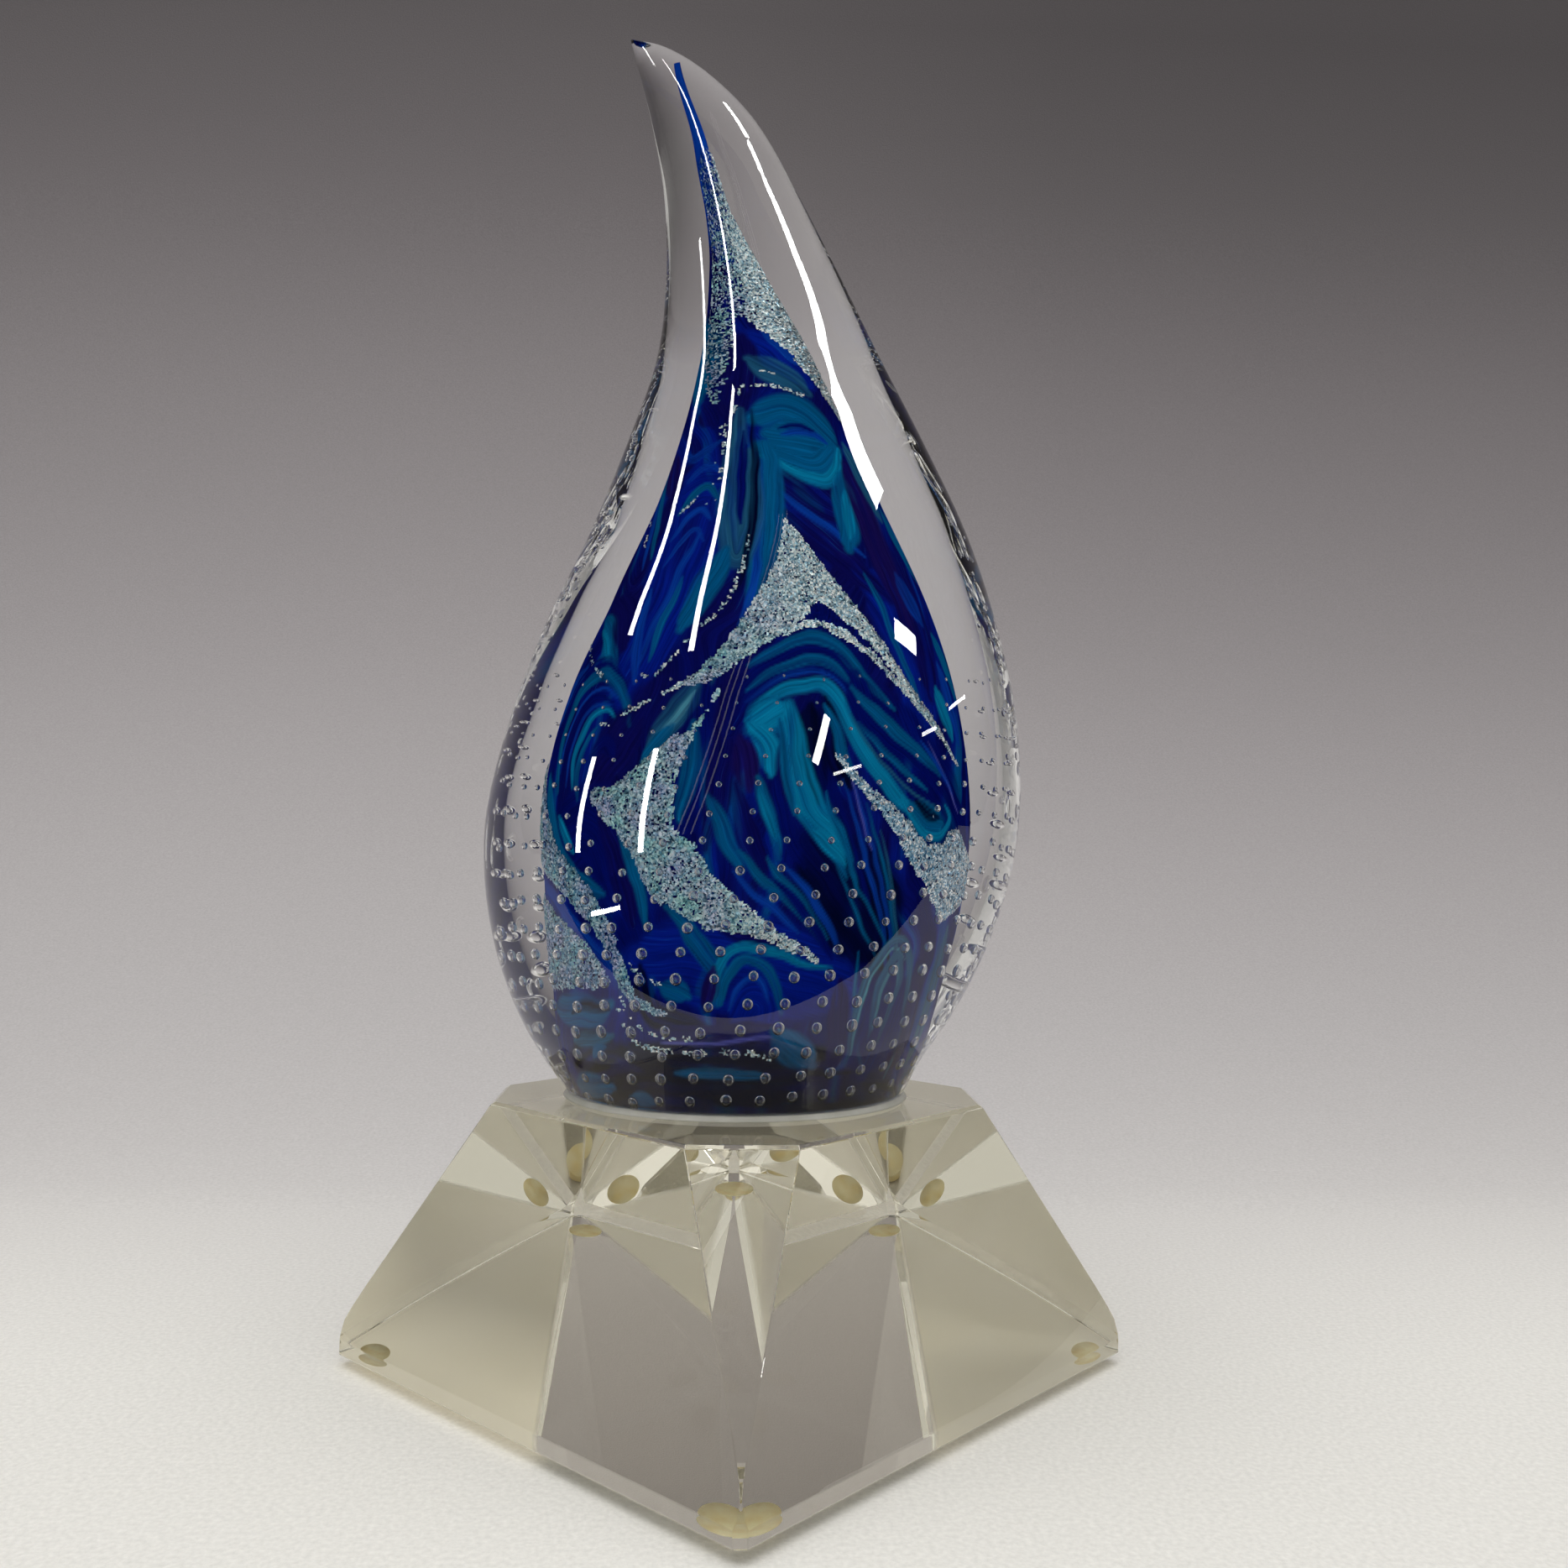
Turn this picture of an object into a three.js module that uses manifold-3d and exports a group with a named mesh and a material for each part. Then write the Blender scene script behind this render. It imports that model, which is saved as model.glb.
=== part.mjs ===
// A crystal award: a clear hand-drawn glass flame with a swirled colour core and crinkled glitter
// patches, glued on a faceted clear base that stands on four soft bumpers.
// Millimetres, +Z up. The origin is on the table plane under the base's centre, one corner of the
// base points to -Y, and the flame's tip leans to -X.
import * as THREE from "three";
import { mergeVertices } from "three/addons/utils/BufferGeometryUtils.js";
import Module from "manifold-3d";

const wasm = await Module();
wasm.setup();

// ---- Driving dimensions ----
const FIT_GAP = 0.3; // air left between two pieces that touch in the real award
const BUMPER_RADIUS = 4;
const BUMPER_REACH = 61; // from the base's centre to a bumper's centre, along a diagonal
const BASE_BOTTOM = 2; // height of the base's underside above the table
const BASE_HEIGHT = 46.7;
const BASE_SIDE = 101.6; // flat to flat at the bottom, a four-inch square
const BASE_TOP_SIDE = 74; // flat to flat at the top
const BAND_HEIGHT = 2.8; // the upright band round the bottom
const BOTTOM_CHAMFER = 0.3;
const TOP_BEVEL = 0.5;
const FILM_THICKNESS = 0.3; // the adhesive under the flame
const FLAME_CENTRE_Y = 2.5; // the flame stands a little behind the base's centre
const FLAT = 0.9; // depth of a flame section over its width
const GLITTER_THICKNESS = 0.6;

const CASING_SEGMENTS = 48;
const CORE_SEGMENTS = 40;
const SUBDIVISIONS = 2; // rings between two neighbouring stations
const PATCH_STEP = 5; // degrees between two columns of a glitter patch
const PATCH_ROWS = 4;

const BASE_TOP = BASE_BOTTOM + BASE_HEIGHT;
const FOOT = BASE_TOP + FILM_THICKNESS + 2 * FIT_GAP; // the flame's ground foot

// ---- Profiles of the flame: height over the foot, centre in x, half width ----
const CASING = [
  [0, -0.4, 31],
  [6.4, -1.1, 35.1],
  [14.4, -0.7, 40.1],
  [25.4, 0.1, 45],
  [38.4, 1.2, 48.4],
  [51.4, 2.3, 49.3],
  [68.4, 4, 47],
  [84.4, 5.1, 42.6],
  [102.4, 6.2, 35.7],
  [120.4, 5.4, 28.1],
  [136.4, 3.8, 21.5],
  [152.4, 0.6, 16.8],
  [168.4, -3.9, 13],
  [182.4, -9.2, 10.2],
  [190.9, -14.4, 7.2],
  [196.4, -19.3, 3.9],
  [199.2, -23.6, 0.3],
];

const CORE = [
  [0, -0.1, 20.5],
  [6.4, 0, 22],
  [14.4, 0.2, 24.3],
  [25.4, 1, 26],
  [38.4, 2, 27.9],
  [51.4, 2.7, 28.6],
  [68.4, 3.9, 26.1],
  [84.4, 4.9, 21.3],
  [102.4, 4.8, 15.2],
  [120.4, 3.4, 10.1],
  [136.4, 1.4, 6.4],
  [152.4, -2.1, 3.1],
  [162.4, -5, 1.6],
  [172.4, -8, 1],
  [186.4, -13.4, 0.5],
];

// ---- Glitter patches on the core: angle round it from the front in degrees, then the lowest and
// the highest point of the patch at that angle, as heights over the foot ----
const PATCHES = {
  glitter_top: [
    [-75, 128.5, 141],
    [-60, 125, 148],
    [-47, 122.5, 151],
    [-38, 127.5, 151],
    [-23, 141, 151],
    [0, 139, 151],
    [20, 136.5, 151],
    [40, 133, 151],
    [65, 125.5, 151],
    [95, 118, 149],
  ],
  glitter_centre: [
    [-30, 70.5, 71.8],
    [-15, 72.5, 80.5],
    [-8, 76, 85.5],
    [0, 78, 91],
    [5, 79.5, 99],
    [17, 84.7, 93],
    [35, 79, 83],
    [52, 70, 72],
    [60, 66.5, 67.4],
    [78, 59.3, 60.1],
  ],
  glitter_arc: [
    [4, 78.3, 78.9],
    [12, 80.3, 80.9],
    [18, 80.4, 81.1],
    [27, 78.4, 79.7],
    [38, 75, 76],
    [48, 70.7, 71.4],
  ],
  glitter_lower: [
    [-60, 52.1, 52.8],
    [-50, 48.2, 53.5],
    [-40, 44, 57.5],
    [-30, 36.7, 61.9],
    [-25, 35.2, 51],
    [-15, 32.4, 41.5],
    [0, 31.6, 34.9],
    [10, 30, 31.5],
    [22, 27.3, 27.9],
  ],
  glitter_right: [
    [28, 55.7, 56.3],
    [35, 52.6, 53.7],
    [43, 49, 51.4],
    [55, 42.4, 47.6],
    [67, 37.9, 46.6],
    [73, 36.2, 48.7],
    [80, 35.7, 48.4],
    [98, 40.4, 44.4],
  ],
  glitter_left: [
    [-100, 42.5, 56.4],
    [-90, 40.5, 52.4],
    [-70, 36, 42.2],
    [-52, 30, 34.7],
    [-47, 25, 30],
    [-43, 21.5, 24.4],
    [-28, 18.3, 19],
  ],
  glitter_left_low: [
    [-95, 23.5, 35.5],
    [-85, 22.7, 34],
    [-65, 22.4, 29.5],
    [-52, 23, 24.5],
  ],
};

// ---- Helpers ----

// The numbers after the first of each station, smoothly interpolated at a given first number.
function between(stations, at) {
  const last = stations.length - 1;
  let i = 0;
  while (i < last - 1 && at > stations[i + 1][0]) i += 1;
  const [before, from, to, after] = [i - 1, i, i + 1, i + 2].map(
    (k) => stations[Math.min(Math.max(k, 0), last)],
  );
  const span = to[0] - from[0];
  const t = (at - from[0]) / span;
  return from.slice(1).map((value, k) => {
    const slopeIn = ((to[k + 1] - before[k + 1]) / (to[0] - before[0])) * span;
    const slopeOut = ((after[k + 1] - value) / (after[0] - from[0])) * span;
    return (
      value * (1 + 2 * t) * (1 - t) ** 2 +
      slopeIn * t * (1 - t) ** 2 +
      to[k + 1] * t * t * (3 - 2 * t) -
      slopeOut * t * t * (1 - t)
    );
  });
}

// A point on a flame section's oval, inset towards its middle. Angle 0 is the front, -Y.
function onOval([centre, halfWidth], degrees, height, inset = 0) {
  const angle = THREE.MathUtils.degToRad(degrees);
  return new THREE.Vector3(
    centre + (halfWidth - inset) * Math.sin(angle),
    FLAME_CENTRE_Y - (halfWidth * FLAT - inset) * Math.cos(angle),
    FOOT + height,
  );
}

// A closed geometry from rings of points, listed upwards and each counter-clockwise from above.
function loft(rings) {
  const around = rings[0].length;
  const points = rings.flat();
  const faces = [];
  for (let r = 0; r + 1 < rings.length; r += 1) {
    for (let i = 0; i < around; i += 1) {
      const a = r * around + i;
      const b = r * around + ((i + 1) % around);
      faces.push(a, b, b + around, a, b + around, a + around);
    }
  }
  for (const [ring, turned] of [
    [0, true],
    [rings.length - 1, false],
  ]) {
    const middle = rings[ring]
      .reduce((sum, p) => sum.add(p), new THREE.Vector3())
      .divideScalar(around);
    points.push(middle);
    for (let i = 0; i < around; i += 1) {
      const a = ring * around + i;
      const b = ring * around + ((i + 1) % around);
      const centre = points.length - 1;
      faces.push(...(turned ? [b, a, centre] : [a, b, centre]));
    }
  }
  return new THREE.BufferGeometry().setFromPoints(points).setIndex(faces);
}

// A flame body from its stations. grow widens every section, and drop lowers its open end.
function flameBody(stations, segments, grow = 0, drop = 0) {
  const heights = stations
    .slice(1)
    .flatMap(([height], i) =>
      Array.from({ length: SUBDIVISIONS }, (_, k) =>
        THREE.MathUtils.lerp(stations[i][0], height, k / SUBDIVISIONS),
      ),
    );
  const top = stations[stations.length - 1][0];
  heights.push(top);
  const ring = (height, lift) =>
    Array.from({ length: segments }, (_, i) =>
      onOval(between(stations, height), (360 * i) / segments, height + lift, -grow),
    );
  const rings = heights.map((height) => ring(height, 0));
  if (grow > 0) rings.push(ring(top, grow));
  if (drop > 0) rings.unshift(ring(0, -drop));
  return loft(rings);
}

// A thin curved plate that follows the core's surface between the outline's limits. deep and proud
// say how far it reaches under and over that surface, and margin widens it all round.
function curvedPlate(outline, deep, proud = 0, margin = 0) {
  const first = outline[0][0];
  const last = outline[outline.length - 1][0];
  const columns = Math.max(3, Math.round((last - first) / PATCH_STEP));
  const grids = [-proud, deep].map((inset) =>
    Array.from({ length: columns + 1 }, (_, c) => {
      const share = c / columns;
      const angle = THREE.MathUtils.lerp(first, last, share);
      const [low, high] = limits(outline, angle);
      const [, halfWidth] = between(CORE, (low + high) / 2);
      const spread = THREE.MathUtils.radToDeg(margin / halfWidth);
      const [lowest, highest] = widened(outline, angle, spread, margin);
      const turned = angle + spread * (2 * share - 1);
      return Array.from({ length: PATCH_ROWS + 1 }, (_, r) => {
        const height = THREE.MathUtils.lerp(lowest, highest, r / PATCH_ROWS);
        return onOval(between(CORE, height), turned, height, inset);
      });
    }).flat(),
  );
  const rows = PATCH_ROWS + 1;
  const inner = grids[0].length;
  const faces = [];
  for (let c = 0; c < columns; c += 1) {
    for (let r = 0; r < PATCH_ROWS; r += 1) {
      const a = c * rows + r;
      const b = a + rows;
      faces.push(a, b, b + 1, a, b + 1, a + 1);
      faces.push(inner + b, inner + a, inner + b + 1, inner + b + 1, inner + a, inner + a + 1);
    }
    for (const [from, to] of [
      [(c + 1) * rows, c * rows],
      [c * rows + PATCH_ROWS, (c + 1) * rows + PATCH_ROWS],
    ]) {
      faces.push(from, to, inner + to, from, inner + to, inner + from);
    }
  }
  for (let r = 0; r < PATCH_ROWS; r += 1) {
    for (const [from, to] of [
      [r, r + 1],
      [columns * rows + r + 1, columns * rows + r],
    ]) {
      faces.push(from, to, inner + to, from, inner + to, inner + from);
    }
  }
  return new THREE.BufferGeometry().setFromPoints(grids.flat()).setIndex(faces);
}

// The lowest and highest point of an outline at an angle, on straight lines between its stations.
function limits(outline, angle) {
  let i = 0;
  while (i < outline.length - 2 && angle > outline[i + 1][0]) i += 1;
  const share = (angle - outline[i][0]) / (outline[i + 1][0] - outline[i][0]);
  return [1, 2].map((k) => THREE.MathUtils.lerp(outline[i][k], outline[i + 1][k], share));
}

// The limits at an angle with a margin all round, where spread is that margin as an angle.
function widened(outline, angle, spread, margin) {
  const near = [-spread, 0, spread].map((shift) => {
    const at = THREE.MathUtils.clamp(
      angle + shift,
      outline[0][0],
      outline[outline.length - 1][0],
    );
    return limits(outline, at);
  });
  return [
    Math.min(...near.map(([low]) => low)) - margin,
    Math.max(...near.map(([, high]) => high)) + margin,
  ];
}

function toSolid(geometry) {
  const bare = new THREE.BufferGeometry();
  bare.setAttribute("position", geometry.getAttribute("position"));
  bare.setIndex(geometry.getIndex());
  const merged = mergeVertices(bare, 1e-4);
  return new wasm.Manifold(
    new wasm.Mesh({
      numProp: 3,
      vertProperties: merged.attributes.position.array,
      triVerts: new Uint32Array(merged.index.array),
    }),
  );
}

function toGeometry(solid) {
  const { vertProperties, triVerts } = solid.getMesh();
  return new THREE.BufferGeometry()
    .setAttribute("position", new THREE.BufferAttribute(vertProperties, 3))
    .setIndex(new THREE.BufferAttribute(triVerts, 1));
}

// One ring of the base: a square turned on its corner, with its four corners cut off.
// flat is from the axis to a side and cut is from the axis to a corner's facet.
function cutSquare(flat, cut, height) {
  const halfFacet = Math.SQRT2 * flat - cut;
  return [0, 90, 180, 270].flatMap((turn) =>
    [-halfFacet, halfFacet].map((side) =>
      new THREE.Vector3(side, -cut, BASE_BOTTOM + height).applyAxisAngle(
        new THREE.Vector3(0, 0, 1),
        THREE.MathUtils.degToRad(turn),
      ),
    ),
  );
}

// ---- The base ----
const CORNER_REACH = 70.8; // from the axis to a corner of the upright band
const TOP_FACET_REACH = 43.4; // from the axis to a facet's upper edge
const FACET_FOOT = 12.4; // above this height a corner facet is flat
const FACET_FOOT_REACH = 66.4;
const SOFTENED_CORNER = [
  [3.6, CORNER_REACH],
  [6, 70.3],
  [8.5, 68.9],
];

// From the axis to a side at a height over the band.
function sideAt(height) {
  const share = (height - BAND_HEIGHT) / (BASE_HEIGHT - BAND_HEIGHT);
  return THREE.MathUtils.lerp(BASE_SIDE, BASE_TOP_SIDE, share) / 2;
}

function crystalBase() {
  const bevelFoot = BASE_HEIGHT - TOP_BEVEL;
  const bevelReach = THREE.MathUtils.lerp(
    FACET_FOOT_REACH,
    TOP_FACET_REACH,
    (bevelFoot - FACET_FOOT) / (BASE_HEIGHT - FACET_FOOT),
  );
  return loft([
    cutSquare(BASE_SIDE / 2 - BOTTOM_CHAMFER, CORNER_REACH - BOTTOM_CHAMFER, 0),
    cutSquare(BASE_SIDE / 2, CORNER_REACH, BOTTOM_CHAMFER),
    cutSquare(BASE_SIDE / 2, CORNER_REACH, BAND_HEIGHT),
    ...SOFTENED_CORNER.map(([height, reach]) => cutSquare(sideAt(height), reach, height)),
    cutSquare(sideAt(FACET_FOOT), FACET_FOOT_REACH, FACET_FOOT),
    cutSquare(sideAt(bevelFoot), bevelReach, bevelFoot),
    cutSquare(BASE_TOP_SIDE / 2 - TOP_BEVEL, TOP_FACET_REACH - TOP_BEVEL, BASE_HEIGHT),
  ]);
}

// A soft round foot with a flat sole, turned from its half section.
function bumper() {
  const height = BASE_BOTTOM - FIT_GAP;
  const sole = BUMPER_RADIUS * 0.75;
  const shoulder = height * 0.55;
  const bend = new THREE.QuadraticBezierCurve(
    new THREE.Vector2(sole, 0),
    new THREE.Vector2(BUMPER_RADIUS, 0),
    new THREE.Vector2(BUMPER_RADIUS, shoulder),
  );
  const profile = [
    new THREE.Vector2(0, 0),
    ...bend.getPoints(5),
    new THREE.Vector2(BUMPER_RADIUS, height),
    new THREE.Vector2(0, height),
  ];
  return new THREE.LatheGeometry(profile, 32).rotateX(Math.PI / 2);
}

// ---- Assembly ----
const award = new THREE.Group();
award.name = "crystal_award";

function add(name, geometry, color, roughness, metalness = 0) {
  const mesh = new THREE.Mesh(
    geometry,
    new THREE.MeshStandardMaterial({ color, roughness, metalness }),
  );
  mesh.name = name;
  award.add(mesh);
  return mesh;
}

const coreBody = toSolid(flameBody(CORE, CORE_SEGMENTS));
const cavity = toSolid(flameBody(CORE, CORE_SEGMENTS, FIT_GAP, 1));
const casing = toSolid(flameBody(CASING, CASING_SEGMENTS));
let pocketed = coreBody;
for (const [name, outline] of Object.entries(PATCHES)) {
  const pocket = curvedPlate(outline, GLITTER_THICKNESS + FIT_GAP, 1, FIT_GAP);
  pocketed = pocketed.subtract(toSolid(pocket));
  add(name, curvedPlate(outline, GLITTER_THICKNESS), 0xc3cfd8, 0.25, 0.9);
}
add("colour_core", toGeometry(pocketed), 0x0b2a86, 0.1);
add("flame_casing", toGeometry(casing.subtract(cavity)), 0xeef0ee, 0.02);

const filmRadius = CASING[0][2] - 0.5;
const film = new THREE.CylinderGeometry(filmRadius, filmRadius, FILM_THICKNESS, CASING_SEGMENTS);
film.rotateX(Math.PI / 2).scale(1, FLAT, 1);
add("adhesive_film", film, 0xf2f2ea, 0.1).position.set(
  CASING[0][1],
  FLAME_CENTRE_Y,
  BASE_TOP + FIT_GAP + FILM_THICKNESS / 2,
);

add("crystal_base", crystalBase(), 0xe9e8e2, 0.02);

const CORNERS = { front: -90, right: 0, back: 90, left: 180 };
for (const [corner, degrees] of Object.entries(CORNERS)) {
  const angle = THREE.MathUtils.degToRad(degrees);
  add(`bumper_${corner}`, bumper(), 0xc9b27a, 0.35).position.set(
    BUMPER_REACH * Math.cos(angle),
    BUMPER_REACH * Math.sin(angle),
    0,
  );
}

export default award;
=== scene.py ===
"""A crystal award: a clear glass flame with a swirled colour core, glitter patches and a lattice
of bubbles, glued on a faceted clear base with four yellowed bumpers. Sizes are in millimetres
until a mesh is made, where MM turns them into metres."""

import math

import bmesh
import bpy
import numpy as np
from mathutils import Matrix, Quaternion, Vector


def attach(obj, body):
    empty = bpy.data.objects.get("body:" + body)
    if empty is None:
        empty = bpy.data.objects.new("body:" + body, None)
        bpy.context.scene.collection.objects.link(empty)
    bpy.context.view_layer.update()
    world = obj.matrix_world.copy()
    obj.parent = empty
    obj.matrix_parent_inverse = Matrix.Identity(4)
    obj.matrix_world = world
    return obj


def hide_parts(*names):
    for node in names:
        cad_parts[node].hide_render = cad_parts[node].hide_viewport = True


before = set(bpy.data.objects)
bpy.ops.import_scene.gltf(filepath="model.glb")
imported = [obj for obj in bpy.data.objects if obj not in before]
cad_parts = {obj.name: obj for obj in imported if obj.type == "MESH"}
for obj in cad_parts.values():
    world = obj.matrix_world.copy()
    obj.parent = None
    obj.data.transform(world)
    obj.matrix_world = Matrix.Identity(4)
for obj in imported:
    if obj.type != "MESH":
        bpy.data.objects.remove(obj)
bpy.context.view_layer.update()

MM = 0.001
rng = np.random.default_rng(7)

# ---------------------------------------------------------------- sizes shared with the CAD
BASE_BOTTOM = 2.0
BASE_HEIGHT = 46.7
BASE_TOP = BASE_BOTTOM + BASE_HEIGHT
BASE_SIDE = 101.6
BASE_TOP_SIDE = 74.0
BAND_HEIGHT = 2.8
FOOT = BASE_TOP + 0.9
FLAME_Y = 2.5
FLAT = 0.9

# Height over the table, centre in x, half width.
CASING = [
    (49.6, -0.4, 31.0), (56, -1.1, 35.1), (64, -0.7, 40.1), (75, 0.1, 45.0), (88, 1.2, 48.4),
    (101, 2.3, 49.3), (118, 4.0, 47.0), (134, 5.1, 42.6), (152, 6.2, 35.7), (170, 5.4, 28.1),
    (186, 3.8, 21.5), (202, 0.6, 16.8), (218, -3.9, 13.0), (232, -9.2, 10.2), (240.5, -14.4, 7.2),
    (246, -19.3, 3.9), (248.8, -23.6, 0.3),
]  # fmt: skip
CORE = [
    (49.6, -0.1, 20.5), (56, 0.0, 22.0), (64, 0.2, 24.3), (75, 1.0, 26.0), (88, 2.0, 27.9),
    (101, 2.7, 28.6), (118, 3.9, 26.1), (134, 4.9, 21.3), (152, 4.8, 15.2), (170, 3.4, 10.1),
    (186, 1.4, 6.4), (202, -2.1, 3.1), (212, -4.9, 1.6), (222, -7.6, 1.1), (229, -9.5, 0.8),
    (236, -12.2, 0.55), (243, -15.3, 0.3),
]  # fmt: skip


def profile(stations, heights):
    """Centre and half width at each height, smoothly through the stations."""
    z, *values = (np.array(column, float) for column in zip(*stations))
    h = np.clip(heights, z[0], z[-1])
    i = np.clip(np.searchsorted(z, h, side="right") - 1, 0, len(z) - 2)
    t = (h - z[i]) / (z[i + 1] - z[i])
    made = []
    for v in values:
        slope = np.empty_like(v)
        slope[1:-1] = (v[2:] - v[:-2]) / (z[2:] - z[:-2])
        slope[0] = (v[1] - v[0]) / (z[1] - z[0])
        slope[-1] = (v[-1] - v[-2]) / (z[-1] - z[-2])
        span = z[i + 1] - z[i]
        made.append(
            v[i] * (1 + 2 * t) * (1 - t) ** 2
            + slope[i] * span * t * (1 - t) ** 2
            + v[i + 1] * t * t * (3 - 2 * t)
            - slope[i + 1] * span * t * t * (1 - t)
        )
    return made


def on_oval(stations, degrees, heights, proud=0.0):
    """Points on a flame body's surface. Angle 0 is the front, -Y, and 90 is the right, +X."""
    centre, half = profile(stations, heights)
    a = np.radians(degrees)
    return np.stack(
        [
            centre + (half + proud) * np.sin(a),
            FLAME_Y - (half * FLAT + proud) * np.cos(a),
            heights + 0 * a,
        ],
        -1,
    )


def off_segment(x, y, ax, ay, dx, dy, tiny=1e-9):
    """How far along the segment from a by d each point's nearest place lies, and the way to it."""
    t = np.clip(((x - ax) * dx + (y - ay) * dy) / (dx * dx + dy * dy + tiny), 0, 1)
    return t, x - ax - t * dx, y - ay - t * dy


# ---------------------------------------------------------------- noise
def lattice_noise(points, seed):
    """Smooth value noise from 0 to 1 at n x d points, for d of 1, 2 or 3, one cell a unit."""
    points = np.asarray(points, float)
    cell = np.floor(points).astype(np.int64)
    t = points - cell
    t = t * t * (3 - 2 * t)
    total = np.zeros(points.shape[:-1])
    primes = (73856093, 19349663, 83492791)
    for corner in np.ndindex(*(2,) * points.shape[-1]):
        key = np.full(points.shape[:-1], seed * 40503 + 977, np.int64)
        weight = np.ones(points.shape[:-1])
        for axis, step in enumerate(corner):
            key ^= (cell[..., axis] + step) * primes[axis]
            weight = weight * (t[..., axis] if step else 1 - t[..., axis])
        key = (key ^ (key >> 13)) * 1274126177
        key ^= key >> 16
        total += weight * ((key & 0xFFFF) / 65535.0)
    return total


def layered_noise(points, seed, octaves=3):
    points = np.asarray(points, float)
    return sum(
        lattice_noise(points * 2**k, seed + 11 * k) / 2**k for k in range(octaves)
    ) / sum(1 / 2**k for k in range(octaves))


# ---------------------------------------------------------------- meshes
def new_object(name, points_mm, faces, smooth=True):
    """A mesh object from points in millimetres and faces of 3 or 4 corners, -1 for none."""
    faces = np.asarray(faces, np.int64)
    mesh = bpy.data.meshes.new(name)
    sizes = (faces >= 0).sum(1)
    loops = faces[faces >= 0]
    mesh.vertices.add(len(points_mm))
    mesh.vertices.foreach_set("co", (np.asarray(points_mm, np.float32) * MM).ravel())
    mesh.loops.add(len(loops))
    mesh.loops.foreach_set("vertex_index", loops.astype(np.int32))
    mesh.polygons.add(len(faces))
    mesh.polygons.foreach_set(
        "loop_start", np.concatenate([[0], np.cumsum(sizes)[:-1]]).astype(np.int32)
    )
    mesh.polygons.foreach_set("loop_total", sizes.astype(np.int32))
    mesh.update(calc_edges=True)
    mesh.validate()
    mesh.polygons.foreach_set("use_smooth", np.full(len(faces), smooth))
    made = bpy.data.objects.new(name, mesh)
    bpy.context.scene.collection.objects.link(made)
    return made


def add_layer(made, name, kind, values, field="value", domain="POINT"):
    """Stores values as a named attribute of the object's mesh."""
    layer = made.data.attributes.new(name, kind, domain)
    layer.data.foreach_set(field, np.asarray(values).astype(np.float32).ravel())


def tube_faces(rows, columns, first=0):
    """Quads of a tube of rows rings with columns points each, facing out."""
    r, c = np.meshgrid(np.arange(rows - 1), np.arange(columns), indexing="ij")
    a = first + r * columns + c
    b = first + r * columns + (c + 1) % columns
    return np.stack([a, b, b + columns, a + columns], -1).reshape(-1, 4)


def fan_faces(ring, centre, turned=False):
    """Triangles from a ring of point numbers to a centre point."""
    after = np.roll(ring, -1)
    a, b = (after, ring) if turned else (ring, after)
    return np.stack([a, b, np.full(len(ring), centre), np.full(len(ring), -1)], -1)


def closed_tube(rings):
    """(points, faces) of a closed body from rings listed upwards, counter-clockwise from above."""
    rows, columns = rings.shape[:2]
    points = np.concatenate(
        [rings.reshape(-1, 3), [rings[0].mean(0)], [rings[-1].mean(0)]]
    )
    last = rows * columns
    return points, np.concatenate(
        [
            tube_faces(rows, columns),
            fan_faces(np.arange(columns), last, turned=True),
            fan_faces(np.arange(last - columns, last), last + 1),
        ]
    )


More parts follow.
